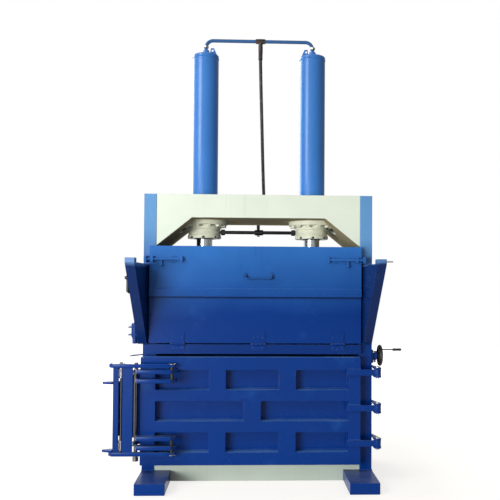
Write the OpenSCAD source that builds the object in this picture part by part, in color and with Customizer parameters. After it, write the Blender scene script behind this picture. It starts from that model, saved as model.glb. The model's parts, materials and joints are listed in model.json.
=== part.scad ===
// Vertical twin-cylinder cotton baler. Millimetres, +Z up, front towards -Y.
// The origin is on the floor, midway between the columns' outer faces and
// midway between the front and rear faces of the frame.

/* [Frame] */
// Width across the outer faces of the two columns
frame_w = 1500; // [1200:10:1900]
// Depth from the front face to the rear face of the columns
frame_d = 600; // [500:10:800]
// Height of the column tops above the floor
frame_h = 1870; // [1700:10:2300]
// Face width of each column
column_w = 80; // [60:2:110]
// Depth of each column post
column_d = 110; // [80:5:140]
// Wall of the square column posts
column_wall = 8; // [5:1:12]
// Reach of the foot runners ahead of the columns
foot_front = 300; // [200:10:330]
// Reach of the foot runners behind the columns
foot_rear = 370; // [330:10:450]
// Width of each foot runner
foot_w = 187; // [150:1:230]
// Height of each foot runner
foot_h = 70; // [50:5:100]
// Plate thickness of the foot runners
foot_wall = 8; // [5:1:12]
// Height of the top edge of the base skirt
skirt_top = 118; // [105:1:140]
// Plate thickness of the base skirt
skirt_t = 10; // [6:1:16]
// Thickness of the chamber floor plate
floor_t = 16; // [10:1:25]
// Number of strap grooves in the chamber floor and in the platen
strap_grooves = 5; // [3:1:7]
// Width of one strap groove
groove_w = 30; // [20:1:40]
// Liner plate thickness of the chamber walls
wall_t = 8; // [5:1:12]
// Height of the stiffening channels on the chamber walls
wall_rib_h = 60; // [40:5:90]

/* [Crosshead] */
// Height of the crosshead beam between its haunches
beam_h = 153; // [120:1:220]
// Drop of the haunches below the beam where they meet the columns
haunch_drop = 187; // [100:1:260]
// Horizontal length of each haunch
haunch_run = 232; // [150:1:300]
// Plate thickness of the crosshead
beam_t = 14; // [8:1:20]

/* [Cylinders] */
// Distance between the two cylinder axes
cylinder_pitch = 750; // [600:5:900]
// Outside diameter of a cylinder barrel
barrel_d = 180; // [150:2:210]
// Wall of a cylinder barrel
barrel_wall = 15; // [8:1:20]
// Height of the barrels above the crosshead
barrel_rise = 990; // [900:5:1300]
// Diameter of a piston rod
rod_d = 110; // [80:2:120]
// Diameter of the clamp flange under the crosshead
flange_d = 320; // [290:5:360]
// Thickness of the clamp flange
flange_t = 30; // [20:1:40]
// Diameter of the gland housing
gland_d = 230; // [205:1:240]
// Height of the gland housing
gland_h = 92; // [80:1:120]
// Number of bolts through each clamp flange
flange_bolt_n = 12; // [6:2:16]
// Diameter of a clamp bolt
flange_bolt_d = 20; // [12:1:24]
// Number of socket screws in each gland
gland_screw_n = 8; // [6:1:12]
// Thickness of a piston
piston_t = 70; // [50:5:90]
// Running clearance on the radius between a rod or piston and its bore
slide_gap = 0.08; // [0.03:0.01:0.1]

/* [Ram] */
// Travel of the platen
ram_stroke = 860; // [600:10:880]
// Height of the platen's underside above the floor when raised
platen_z = 1392; // [1350:1:1410]
// Clearance between the platen and the chamber walls
platen_gap = 12; // [8:1:20]
// Thickness of the platen's pressing plate
platen_t = 20; // [12:1:30]
// Height of the platen's stiffening ribs
platen_rib_h = 90; // [60:5:100]

/* [Feed door] */
// Height of the hinge line of the feed door
feed_hinge_z = 894; // [880:1:910]
// Height of the top edge of the feed door
feed_top_z = 1527; // [1480:1:1540]
// Thickness of the feed door
feed_t = 42; // [30:1:50]
// Lap of the feed door over the left column's face
feed_lap_left = 36; // [20:1:40]
// Lap of the feed door over the right column's face
feed_lap_right = 2; // [0:1:6]
// Height of the bottom edge of the proud upper panel
lip_z = 1198; // [1100:1:1300]
// Height of the lip along the bottom of the upper panel
lip_h = 52; // [30:1:80]
// Opening angle of the feed door
feed_open = 35; // [20:1:36]
// Diameter of a slide bolt
bolt_d = 16; // [12:1:20]
// Travel of a slide bolt into its keeper
bolt_travel = 18; // [10:1:20]

/* [Cheeks] */
// Reach of the cheek plates ahead of the columns
cheek_reach = 380; // [250:5:420]
// Height of the cheek plates' top edge
cheek_top_z = 1408; // [1350:1:1420]
// Outward lean of a cheek's front corner
cheek_splay = 30; // [20:1:45]
// Plate thickness of the cheeks
cheek_t = 8; // [5:1:12]

/* [Bale door] */
// Height of the bottom edge of the bale door
door_z0 = 123; // [110:1:140]
// Height of the top edge of the bale door
door_z1 = 812; // [760:1:815]
// Thickness of the bale door over its ribs
door_t = 78; // [50:1:100]
// Thickness of the bale door's backing plate
door_plate_t = 12; // [8:1:20]
// Gap between the door's right edge and the right column's inner face
door_inset = 8; // [2:1:30]
// Width of the door's plain margin left of the pockets
margin_left = 95; // [60:1:120]
// Width of the door's plain margin right of the pockets
margin_right = 77; // [50:1:110]
// Width of the ribs between the pockets
rib_w = 110; // [60:1:130]
// Height of the ribs between the pocket rows
rib_h = 72; // [50:1:90]
// Height of a pocket
pocket_h = 127; // [90:1:135]
// Height of a hinge strap
strap_h = 38; // [25:1:50]
// Thickness of a hinge strap
strap_t = 16; // [10:1:20]
// Diameter of a hinge pin
hinge_pin_d = 22; // [16:1:28]

/* [Lock] */
// Height of the lock frame's upper arm
lock_top_z = 757; // [740:1:760]
// Height of the lock frame's lower arm
lock_low_z = 205; // [190:1:230]
// Plate thickness of the lock parts
lock_t = 14; // [8:1:16]
// Diameter of the keeper rod on the column
keeper_d = 25; // [18:1:28]
// Diameter of the link rod on the lock frame
link_rod_d = 18; // [12:1:22]
// Turn of the hooks from beside the keeper rod to behind it
hook_turn = 24; // [22:1:27]
// Reach of the handle tips beyond the column's outer face
tip_reach = 228; // [200:1:240]

/* [Side handwheel] */
// Diameter of the handwheel
wheel_d = 140; // [110:2:180]
// Diameter of the handwheel's rim section
rim_d = 22; // [14:1:28]
// Height of the handwheel's axis
wheel_z = 812; // [780:1:830]
// Length of the revolving grip
grip_len = 58; // [40:1:80]

/* [Pipes] */
// Outside diameter of the bridge and lower pipes
pipe_d = 24; // [16:1:28]
// Height of the bridge pipe's axis above the barrels' tops
bridge_rise = 132; // [100:1:160]
// Outside diameter of the hose
hose_d = 24; // [18:1:30]

/* [Hidden] */
$fn = 48;

blue = [0.08, 0.24, 0.62];
deep_blue = [0.05, 0.16, 0.44];
cream = [0.87, 0.87, 0.74];
steel = [0.62, 0.64, 0.66];
black = [0.07, 0.07, 0.08];

// Main planes of the frame
half_w = frame_w / 2;
front_y = -frame_d / 2;
back_y = frame_d / 2;
inner_x = half_w - column_w;
liner_x = inner_x - wall_t;
floor_z = skirt_top + floor_t;

// Crosshead
beam_z1 = frame_h;
beam_z0 = beam_z1 - beam_h;
beam_inset = 4;
beam_y0 = front_y + beam_inset;
beam_y1 = back_y - beam_inset;
haunch_z = beam_z0 - haunch_drop;
haunch_x = inner_x - haunch_run;

// Cylinders: sides, levels and fits
sides = [-1, 1];
cyl_x = cylinder_pitch / 2;
barrel_z0 = beam_z0 - flange_t;
barrel_z1 = beam_z1 + barrel_rise;
barrel_r = barrel_d / 2;
bore_r = barrel_r - barrel_wall;
rod_r = rod_d / 2;
seat_gap = 0.5;
gland_z0 = barrel_z0 - gland_h;
gland_spigot = 25;
flange_gap = 8;
gland_port_z = gland_z0 + gland_h / 2;
cap_spigot = 20;
cap_rim = 22;
cap_cone = 22;
port_boss_d = 46;
port_boss_h = 16;
piston_z1 = barrel_z1 - cap_spigot - 20;
piston_z0 = piston_z1 - piston_t;
flange_bolt_pcd = (flange_d + gland_d) / 2;
gland_screw_pcd = gland_d - 18;
gland_screw_d = 20;

// Platen
platen_top = platen_z + platen_t + platen_rib_h;
platen_x = liner_x - platen_gap;
back_liner_y = back_y - 60;
platen_y0 = front_y + platen_gap;
platen_y1 = back_liner_y - platen_gap;

// Pipes
pipe_r = pipe_d / 2;
bridge_z = barrel_z1 + bridge_rise;
bend_r = 50;
tee_x = 8;
lower_tee_x = 5;
bulkhead_y = back_y + 35;
bulkhead_z = beam_z0 + 75;
bulkhead_t = 10;
coupling_d = 26;
hose_port_x = 48;

// Feed door: the axis lies in front of the sill's face
feed_left = inner_x + feed_lap_left;
feed_right = inner_x + feed_lap_right;
door_gap = 3;
feed_back_y = front_y - door_gap;
feed_skin_y = feed_back_y - feed_t + 6;
skin_t = 6;
panel_proud = 12;
lip_proud = 8;
panel_y = feed_skin_y - panel_proud;
knuckle_r = 9;
feed_pin_r = 4;
pin_gap = 0.05;
feed_axis_y = feed_skin_y - knuckle_r;
feed_bottom_z = feed_hinge_z + 4;
sill_top = feed_hinge_z - 4;
sill_h = 62;
hinge_x = [186 - feed_left, 0, feed_right - 155];
leaf_w = 86;
leaf_t = 5;
bolt_z = 1440;
bolt_r = bolt_d / 2;
bolt_y = panel_y - bolt_r - 6;
bolt_len = 234;
guide_t = 14;
keeper_t = 16;
tip_gap = 2;
keeper_gap = 2;
left_keeper_x = -feed_left - 16;
right_keeper_x = feed_right + 6;

// Cheeks
cheek_left_x = -feed_left - 9;
cheek_right_x = feed_right + 9;
cheek_z0 = sill_top + 8;
cheek_toe = 34;
flange_w = 58;
edge_bar_t = 10;
splay_angle = atan(cheek_splay / cheek_reach);
pad_h = 30;
pad_d = 44;
hold_pin_r = 5;
hold_pin_y = -cheek_reach + 26;
hold_pin_z = cheek_top_z + pad_h / 2;
catch_y = -225;
catch_z = 1318;
catch_pin_r = 5;

// Bale door
door_left = -half_w;
door_right = inner_x - door_inset;
door_back_y = front_y - 2;
door_front_y = door_back_y - door_t;
field_x0 = door_left + margin_left;
field_x1 = door_right - margin_right;
rail_h = (door_z1 - door_z0 - 3 * pocket_h - 2 * rib_h) / 2;
row_pitch = pocket_h + rib_h;
pockets_in_row = [3, 2, 3];
strap_z = [263, 488, 717];
strap_x0 = door_right - 89;
door_axis_x = half_w + 22;
door_axis_y = door_front_y - strap_t / 2 + 4;
eye_r = 22;
lug_gap = 1;
lug_t = 12;
pin_r = hinge_pin_d / 2;

// Lock: pivots seen from above
arm_x = door_left + 205;
arm_y = door_front_y - 50;
link_x = door_left - 116;
link_y = arm_y + 20;
keeper_x = door_left - 35;
keeper_y = front_y - 30;
keeper_r = keeper_d / 2;
link_rod_r = link_rod_d / 2;
arm_z = [lock_low_z, lock_top_z];
hook_t = 12;
hook_near = 6;
hook_far = 73;
bracket_near = 24;
bracket_far = 82;
link_span = norm([keeper_x - link_x, keeper_y - link_y]);
keeper_angle = atan2(keeper_y - link_y, keeper_x - link_x);
tip_z = [226, 650];

arm_half = 22;
bracket_left = door_left - 20;
bracket_end = 24;
lock_pin_r = 11;
hook_boss_r = 20;
// Levels of the hook plates, a pair next to each arm, and of the column's lugs between them
hook_z = [for (level = [0, 1], d = [hook_near, hook_far - hook_t])
    level == 0 ? arm_z[0] + lock_t + d : arm_z[1] - d - hook_t];
keeper_lug_z = [hook_z[0] + hook_t + 14, hook_z[2] - 14 - lock_t];

// Side handwheel
wheel_x = half_w + 62;
wheel_y = front_y + column_d / 2;
wheel_r = wheel_d / 2 - rim_d / 2;
shaft_r = 10;
crank_angle = 44;
spindle_r = 4;
grip_r = 9;
grip_x1 = half_w + 198;
grip_x0 = grip_x1 - grip_len;

// ---- shared shapes ----

// Box given by its limits along X, Y and Z
module block(x, y, z) {
    translate([x[0], y[0], z[0]]) cube([x[1] - x[0], y[1] - y[0], z[1] - z[0]]);
}

// Round bar along X, Y or Z, from a to b, with its axis through the other two coordinates
module bar_x(x, y, z, r) { translate([x[0], y, z]) rotate([0, 90, 0]) cylinder(r = r, h = x[1] - x[0]); }
module bar_y(x, y, z, r) { translate([x, y[0], z]) rotate([-90, 0, 0]) cylinder(r = r, h = y[1] - y[0]); }
module bar_z(x, y, z, r) { translate([x, y, z[0]]) cylinder(r = r, h = z[1] - z[0]); }

// Hexagonal bar along Z
module hex_z(x, y, z, across) {
    translate([x, y, z[0]]) rotate([0, 0, 30]) cylinder(d = across / cos(30), h = z[1] - z[0], $fn = 6);
}

// Plate outline in XY, raised from z to z + t
module flat(points, z, t) { translate([0, 0, z]) linear_extrude(t) polygon(points); }

// Plate outline in XZ, from y0 back to y1
module upright(points, y0, y1) {
    translate([0, y1, 0]) rotate([90, 0, 0]) linear_extrude(y1 - y0) polygon(points);
}

// Plate outline in YZ, from x0 to x1
module sideways(points, x0, x1) {
    translate([x0, 0, 0]) rotate([90, 0, 90]) linear_extrude(x1 - x0) polygon(points);
}

// ---- base and frame ----

module feet() {
    color(blue) for (x0 = [-half_w, half_w - foot_w]) difference() {
        block([x0, x0 + foot_w], [front_y - foot_front, back_y + foot_rear], [0, foot_h]);
        block([x0 + foot_wall, x0 + foot_w - foot_wall],
            [front_y - foot_front + foot_wall, back_y + foot_rear - foot_wall],
            [-1, foot_h - foot_wall]);
    }
}

// Cream plates at front and rear, tied by bearers that carry the floor
module base_skirt() {
    foot_in = half_w - foot_w;
    bearer_w = 60;
    outline = [[-foot_in, 0], [foot_in, 0], [foot_in, foot_h], [inner_x, foot_h],
        [inner_x, skirt_top], [-inner_x, skirt_top], [-inner_x, foot_h], [-foot_in, foot_h]];
    color(cream) {
        upright(outline, front_y + 6, front_y + 6 + skirt_t);
        upright(outline, back_y - 6 - skirt_t, back_y - 6);
        for (x = [-400, -bearer_w / 2, 400 - bearer_w])
            block([x, x + bearer_w], [front_y + 6 + skirt_t, back_y - 6 - skirt_t],
                [skirt_top - 80, skirt_top]);
    }
}

function groove_x(i) = (i - (strap_grooves - 1) / 2) * 2 * liner_x / (strap_grooves + 1);

module chamber_floor() {
    color(deep_blue) difference() {
        block([-inner_x, inner_x], [front_y, back_y - column_wall], [skirt_top, floor_z]);
        for (i = [0 : strap_grooves - 1])
            block([groove_x(i) - groove_w / 2, groove_x(i) + groove_w / 2],
                [front_y - 1, back_y + 1], [floor_z - floor_t * 0.6, floor_z + 1]);
    }
}

module post(x0, y0) {
    difference() {
        block([x0, x0 + column_w], [y0, y0 + column_d], [foot_h, frame_h]);
        block([x0 + column_wall, x0 + column_w - column_wall],
            [y0 + column_wall, y0 + column_d - column_wall], [foot_h - 1, frame_h - column_wall]);
    }
}

// Two square posts joined by a head plate
module column(side) {
    x0 = side < 0 ? -half_w : inner_x;
    color(blue) {
        post(x0, front_y);
        post(x0, back_y - column_d);
        block([x0, x0 + column_w], [front_y + column_d, back_y - column_d],
            [frame_h - column_wall, frame_h]);
        block([x0, x0 + column_w], [front_y + column_d, back_y - column_d], [foot_h, foot_h + 10]);
    }
}

// Small pointed ledge beside the left column, under the sill
module corner_ledge() {
    color(blue) flat([[-half_w, front_y + 40], [-half_w, front_y - 2], [-half_w - 70, front_y - 90],
        [-half_w - 60, front_y - 20]], door_z1 + 4, 6);
}

// Plates on the columns with a square hole for each slide bolt
module bolt_keepers() {
    hole = bolt_r + keeper_gap;
    color(blue) for (x = [left_keeper_x - keeper_t, right_keeper_x]) difference() {
        block([x, x + keeper_t], [bolt_y - 18, front_y], [bolt_z - 20, bolt_z + 20]);
        block([x - 1, x + keeper_t + 1], [bolt_y - hole, bolt_y + hole],
            [bolt_z - hole, bolt_z + hole]);
    }
}

module left_column() {
    column(-1);
    corner_ledge();
}

module right_column() { column(1); }

wall_rib_z = [210, 440, 670, 900, 1130, 1360];

// Liner plate inside the posts with folded channels between them
module side_wall(side) {
    x0 = side < 0 ? -inner_x : liner_x;
    rib_x = side < 0 ? [-half_w + 10, -inner_x] : [inner_x, half_w - 10];
    hollow_x = side < 0 ? [-half_w, -inner_x - wall_t] : [inner_x + wall_t, half_w];
    color(blue) {
        block([x0, x0 + wall_t], [front_y, back_y - column_wall], [floor_z, feed_top_z]);
        for (z = wall_rib_z) difference() {
            block(rib_x, [front_y + column_d, back_y - column_d], [z, z + wall_rib_h]);
            block(hollow_x, [front_y, back_y], [z + wall_t, z + wall_rib_h - wall_t]);
        }
    }
}

// Rear liner with a grid of folded channels, flush with the rear posts
module back_wall() {
    rib_y1 = back_y - column_wall - 2;
    color(blue) {
        block([-liner_x, liner_x], [back_liner_y, back_liner_y + wall_t], [floor_z, feed_top_z]);
        for (z = wall_rib_z) difference() {
            block([-liner_x, liner_x], [back_liner_y + wall_t, rib_y1], [z, z + wall_rib_h]);
            block([-liner_x - 1, liner_x + 1], [back_liner_y + wall_t * 2, back_y],
                [z + wall_t, z + wall_rib_h - wall_t]);
        }
        for (x = [-440, -30, 380], k = [0 : len(wall_rib_z) - 2])
            block([x, x + 60], [back_liner_y + wall_t, rib_y1 - 10],
                [wall_rib_z[k] + wall_rib_h, wall_rib_z[k + 1]]);
    }
}

module front_sill() {
    color(deep_blue) block([-half_w + 6, feed_right - 2], [feed_skin_y, front_y],
        [sill_top - sill_h, sill_top]);
}

// Portal beam: front and rear plates with haunches, closed by top, bottom and sloping plates.
// The bottom plate runs on into the haunches, and the sloping plates are notched round the flanges
module crosshead() {
    outline = [[-inner_x, beam_z1], [inner_x, beam_z1], [inner_x, haunch_z],
        [haunch_x, beam_z0], [-haunch_x, beam_z0], [-inner_x, haunch_z]];
    slope = haunch_drop / haunch_run;
    rise = beam_t * sqrt(1 + slope * slope);
    toe_z = haunch_z + rise + beam_t * slope;
    box_x = inner_x - beam_t;
    main_hollow = [[-box_x, beam_z1 - beam_t], [box_x, beam_z1 - beam_t],
        [box_x, beam_z0 + beam_t], [-box_x, beam_z0 + beam_t]];
    color(cream) difference() {
        upright(outline, beam_y0, beam_y1);
        upright(main_hollow, beam_y0 + beam_t, beam_y1 - beam_t);
        for (s = sides) {
            upright([[s * box_x, beam_z0], [s * box_x, toe_z], [s * (haunch_x + rise / slope), beam_z0]],
                beam_y0 + beam_t, beam_y1 - beam_t);
            bar_z(s * cyl_x, 0, [haunch_z, beam_z0], flange_d / 2 + flange_gap);
            bar_z(s * cyl_x, 0, [beam_z0 - 1, beam_z1 + 1], barrel_r + seat_gap);
            flange_bolt_ring(s) bar_z(0, 0, [beam_z0 - 1, beam_z0 + beam_t + 1], flange_bolt_d / 2 + 1);
        }
    }
}

// Places its children round the bolt circle of one cylinder
module flange_bolt_ring(side) {
    for (i = [0 : flange_bolt_n - 1])
        translate([side * cyl_x, 0, 0]) rotate([0, 0, (i + 0.5) * 360 / flange_bolt_n])
            translate([flange_bolt_pcd / 2, 0, 0]) children();
}

// ---- hydraulic cylinders ----

module barrel(side) {
    color(blue) translate([side * cyl_x, 0, 0]) difference() {
        bar_z(0, 0, [barrel_z0, barrel_z1], barrel_r);
        bar_z(0, 0, [barrel_z0 - 1, barrel_z1 + 1], bore_r);
    }
}

// Coned cover with a port boss in the middle and a lifting fin on its inner side
module cap(side) {
    fin_t = 12;
    fin_top = cap_rim + cap_cone + 34;
    top_r = port_boss_d / 2 + 8;
    color(blue) translate([side * cyl_x, 0, barrel_z1]) {
        rotate_extrude() polygon([[0, -cap_spigot], [bore_r - slide_gap, -cap_spigot],
            [bore_r - slide_gap, 0], [barrel_r, 0], [barrel_r, cap_rim - 4], [barrel_r - 4, cap_rim],
            [top_r, cap_rim + cap_cone], [port_boss_d / 2, cap_rim + cap_cone],
            [port_boss_d / 2, cap_rim + cap_cone + port_boss_h], [0, cap_rim + cap_cone + port_boss_h]]);
        difference() {
            upright([[-side * (top_r - 2), cap_rim], [-side * (barrel_r - 8), cap_rim - 2],
                [-side * (barrel_r - 34), fin_top], [-side * (barrel_r - 56), fin_top],
                [-side * (top_r - 2), cap_rim + cap_cone]], -fin_t / 2, fin_t / 2);
            bar_y(-side * (barrel_r - 45), [-fin_t, fin_t], fin_top - 17, 8);
        }
    }
}

module clamp_flange(side) {
    color(cream) difference() {
        translate([side * cyl_x, 0, barrel_z0]) rotate_extrude() polygon([[barrel_r, 0],
            [flange_d / 2 - 3, 0], [flange_d / 2, 3], [flange_d / 2, flange_t], [barrel_r, flange_t]]);
        flange_bolt_ring(side) bar_z(0, 0, [barrel_z0 - 1, beam_z0 + 1], flange_bolt_d / 2 + 1);
    }
}

// Hexagon bolts through the clamp flanges and the crosshead's lower plate, with nuts
module flange_bolts() {
    head_h = flange_bolt_d * 0.65;
    nut_h = flange_bolt_d * 0.8;
    color(cream) for (s = sides) flange_bolt_ring(s) {
        hex_z(0, 0, [barrel_z0 - head_h, barrel_z0], flange_bolt_d * 1.5);
        bar_z(0, 0, [barrel_z0, beam_z0 + beam_t + nut_h + 4], flange_bolt_d / 2);
        hex_z(0, 0, [beam_z0 + beam_t, beam_z0 + beam_t + nut_h], flange_bolt_d * 1.5);
    }
}

module gland_screw_ring(side) {
    for (i = [0 : gland_screw_n - 1])
        translate([side * cyl_x, 0, gland_z0]) rotate([0, 0, i * 360 / gland_screw_n])
            translate([gland_screw_pcd / 2, 0, 0]) children();
}

// Stepped housing with two grooves, a spigot in the barrel and a port facing inwards
module gland(side) {
    r = gland_d / 2;
    h = gland_h;
    color(cream) difference() {
        translate([side * cyl_x, 0, gland_z0]) rotate_extrude() polygon([[rod_r + slide_gap, 0],
            [r - 3, 0], [r, 3], [r, h * 0.26], [r - 5, h * 0.30], [r - 5, h * 0.36], [r - 1, h * 0.38],
            [r - 1, h * 0.58], [r - 7, h * 0.60], [r - 7, h * 0.67], [r - 3, h * 0.70], [r - 3, h],
            [bore_r - slide_gap, h], [bore_r - slide_gap, h + gland_spigot],
            [rod_r + slide_gap, h + gland_spigot]]);
        gland_screw_ring(side) bar_z(0, 0, [-1, 14], gland_screw_d / 2 + 2);
        bar_x(side < 0 ? [-cyl_x + r - 24, 0] : [0, cyl_x - r + 24], 0, gland_port_z, pipe_r);
    }
}

module gland_screws() {
    color(black) for (s = sides) gland_screw_ring(s) difference() {
        bar_z(0, 0, [2, 14], gland_screw_d / 2);
        hex_z(0, 0, [0, 9], gland_screw_d * 0.5);
    }
}

module ram_rod(side) {
    color(steel) bar_z(side * cyl_x, 0, [platen_z + platen_t, piston_z0], rod_r);
}

module piston(side) {
    seal_h = 8;
    seal_depth = 3;
    r = bore_r - slide_gap;
    color(steel) translate([side * cyl_x, 0, piston_z0]) difference() {
        cylinder(r = r, h = piston_t);
        for (k = [1, 2]) difference() {
            bar_z(0, 0, [k * piston_t / 3 - seal_h / 2, k * piston_t / 3 + seal_h / 2], r + 1);
            bar_z(0, 0, [k * piston_t / 3 - seal_h, k * piston_t / 3 + seal_h], r - seal_depth);
        }
    }
}

// Pressing plate with strap grooves below and a grid of ribs round the rod seats
module platen() {
    seat_r = rod_r + 30;
    top = platen_z + platen_t;
    color(deep_blue) difference() {
        union() {
            block([-platen_x, platen_x], [platen_y0, platen_y1], [platen_z, top]);
            for (y = [platen_y0, -60, 40, platen_y1 - 20])
                block([-platen_x, platen_x], [y, y + 20], [top, platen_top]);
            for (x = [-platen_x, -cyl_x - 10, -10, cyl_x - 10, platen_x - 20])
                block([x, x + 20], [platen_y0, platen_y1], [top, platen_top]);
            for (s = sides) bar_z(s * cyl_x, 0, [top, platen_top + 10], seat_r);
        }
        for (s = sides) bar_z(s * cyl_x, 0, [top, platen_top + 11], rod_r);
        for (i = [0 : strap_grooves - 1])
            block([groove_x(i) - groove_w / 2, groove_x(i) + groove_w / 2],
                [platen_y0 - 1, platen_y1 + 1], [platen_z - 1, platen_z + platen_t * 0.6]);
    }
}

// ---- pipes and hose ----

// Quarter bend of pipe: centre of the bend, turned by spin about Y
module bend(x, z, spin) {
    translate([x, 0, z]) rotate([90, 0, 0]) rotate([0, 0, spin])
        rotate_extrude(angle = 90) translate([bend_r, 0]) circle(r = pipe_r);
}

module bridge_pipe() {
    boss_z = barrel_z1 + cap_rim + cap_cone + port_boss_h;
    color(blue) {
        for (s = sides) bar_z(s * cyl_x, 0, [boss_z, bridge_z - bend_r], pipe_r);
        bend(-cyl_x + bend_r, bridge_z - bend_r, 90);
        bend(cyl_x - bend_r, bridge_z - bend_r, 0);
        bar_x([-cyl_x + bend_r, cyl_x - bend_r], 0, bridge_z, pipe_r);
    }
}

tee_len = 40;
tee_r = pipe_r + 6;
ferrule_h = 44;

// Sleeve round the bridge pipe with a branch and ferrule for the hose
module hose_tee() {
    color([0.25, 0.2, 0.17]) difference() {
        union() {
            bar_x([tee_x - tee_len / 2, tee_x + tee_len / 2], 0, bridge_z, tee_r);
            hex_z(tee_x, 0, [bridge_z - tee_r - 16, bridge_z], 30);
            bar_z(tee_x, 0, [bridge_z - tee_r - 16 - ferrule_h, bridge_z - tee_r - 16], hose_d / 2 + 4);
        }
        bar_x([tee_x - tee_len, tee_x + tee_len], 0, bridge_z, pipe_r);
        bar_z(tee_x, 0, [bridge_z - tee_r - 17 - ferrule_h, bridge_z - tee_r - ferrule_h + 20], hose_d / 2);
    }
}

// Route of the hose from the tee down behind the crosshead to its coupling
hose_z1 = bridge_z - tee_r - ferrule_h + 20;
hose_z0 = bulkhead_z + bulkhead_t + 44;
hose_route = [[tee_x, 0, hose_z1], [tee_x, 0, hose_z1 - 40], [tee_x, 0, hose_z1 - 80],
    [10, 4, 2780], [14, 30, 2650], [20, 80, 2500], [26, 140, 2350], [32, 205, 2200], [38, 265, 2070],
    [43, 310, 1970], [46, 330, 1915], [hose_port_x, bulkhead_y, hose_z0 + 30],
    [hose_port_x, bulkhead_y, hose_z0]];

// Smooth curve through the route's points, each stretch cut in two
function between(a, b, c, d, t) = (2 * b + (c - a) * t + (2 * a - 5 * b + 4 * c - d) * t * t
    + (3 * b - a - 3 * c + d) * t * t * t) / 2;
function smooth(path) = let (last = len(path) - 1) [for (i = [0 : last - 1], t = [0, 0.5])
    between(path[max(i - 1, 0)], path[i], path[i + 1], path[min(i + 2, last)], t), path[last]];

function unit(v) = v / norm(v);
function direction(path, i) = i == 0 || i == len(path) - 1 ? [0, 0, -1]
    : unit(path[i + 1] - path[i - 1]);
function ring(path, i, r, n) = let (d = direction(path, i), u = unit(cross([0, 1, 0.2], d)),
    v = cross(d, u)) [for (k = [0 : n - 1]) path[i] + r * (cos(k * 360 / n) * u + sin(k * 360 / n) * v)];

// Round cord along a route, as one closed skin
module cord_tube(path, r, n) {
    count = len(path);
    points = [for (i = [0 : count - 1]) each ring(path, i, r, n)];
    skin = [for (i = [0 : count - 2], k = [0 : n - 1])
        [i * n + k, i * n + (k + 1) % n, (i + 1) * n + (k + 1) % n, (i + 1) * n + k]];
    first = [for (k = [n - 1 : -1 : 0]) k];
    last = [for (k = [0 : n - 1]) (count - 1) * n + k];
    polyhedron(points, concat(skin, [first, last]));
}

module hose() { color(black) cord_tube(smooth(hose_route), hose_d / 2 - 0.1, 12); }

// Pipe between the two gland ports, with a branch back and up to the bulkhead
module lower_pipe() {
    port_x = cyl_x - gland_d / 2 + 24;
    nut_x = cyl_x - gland_d / 2;
    elbow_y = bulkhead_y - bend_r;
    color(black) {
        bar_x([-port_x, port_x], 0, gland_port_z, pipe_r);
        for (s = sides) translate([s * nut_x, 0, gland_port_z]) rotate([0, -s * 90, 0])
            cylinder(d = pipe_d * 1.7, h = 28, $fn = 6);
        translate([lower_tee_x, 0, gland_port_z]) rotate([0, 90, 0])
            cylinder(r = pipe_r + 7, h = 60, center = true);
        bar_y(lower_tee_x, [0, elbow_y], gland_port_z, pipe_r);
        translate([lower_tee_x, elbow_y, gland_port_z + bend_r]) rotate([90, 0, 90])
            rotate([0, 0, -90]) rotate_extrude(angle = 90) translate([bend_r, 0]) circle(r = pipe_r);
        bar_z(lower_tee_x, bulkhead_y, [gland_port_z + bend_r, bulkhead_z - 30], pipe_r);
    }
}

// Angle bracket on the rear of the crosshead
module bulkhead_bracket() {
    w = hose_port_x - lower_tee_x;
    x0 = lower_tee_x - 35;
    x1 = hose_port_x + 35;
    color(cream) difference() {
        union() {
            block([x0, x1], [beam_y1, beam_y1 + 8], [bulkhead_z - 40, bulkhead_z + bulkhead_t + 30]);
            block([x0, x1], [beam_y1, bulkhead_y + 30], [bulkhead_z, bulkhead_z + bulkhead_t]);
        }
        for (x = [lower_tee_x, hose_port_x])
            bar_z(x, bulkhead_y, [bulkhead_z - 1, bulkhead_z + bulkhead_t + 1], coupling_d / 2 + 0.5);
    }
}

port_r = 11;
port_len = 22;

// Straight couplings through the bracket; each keeps a free nipple for a supply line
module bulkhead_couplings() {
    top = bulkhead_z + bulkhead_t;
    color(steel) {
        for (x = [lower_tee_x, hose_port_x]) {
            bar_z(x, bulkhead_y, [bulkhead_z - 12, top + 12], coupling_d / 2);
            hex_z(x, bulkhead_y, [bulkhead_z - 12, bulkhead_z], 38);
            hex_z(x, bulkhead_y, [top, top + 12], 38);
        }
        hex_z(hose_port_x, bulkhead_y, [top + 12, top + 34], 32);
        bar_z(hose_port_x, bulkhead_y, [top + 34, hose_z0], coupling_d / 2);
        bar_z(hose_port_x, bulkhead_y, [bulkhead_z - 12 - port_len, bulkhead_z - 12], port_r);
        hex_z(lower_tee_x, bulkhead_y, [bulkhead_z - 30, bulkhead_z - 12], 32);
        bar_z(lower_tee_x, bulkhead_y, [top + 12, top + 12 + port_len], port_r);
    }
}

// ---- feed door ----

// Folded pan door: lower skin, proud upper panel with a lip along its bottom edge
module feed_door() {
    rim = 40;
    x = [-feed_left, feed_right];
    color(blue) {
        difference() {
            block(x, [feed_skin_y, feed_back_y], [feed_bottom_z, feed_top_z]);
            block([x[0] + rim, x[1] - rim], [feed_skin_y + skin_t, feed_back_y + 1],
                [feed_bottom_z + rim, feed_top_z - rim]);
        }
        for (rx = [-250, 190])
            block([rx, rx + rim], [feed_skin_y + skin_t, feed_back_y - 6],
                [feed_bottom_z + rim, feed_top_z - rim]);
        block(x, [panel_y, feed_skin_y], [lip_z, feed_top_z]);
        block(x, [panel_y - lip_proud, panel_y], [lip_z, lip_z + lip_h]);
    }
}

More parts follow.
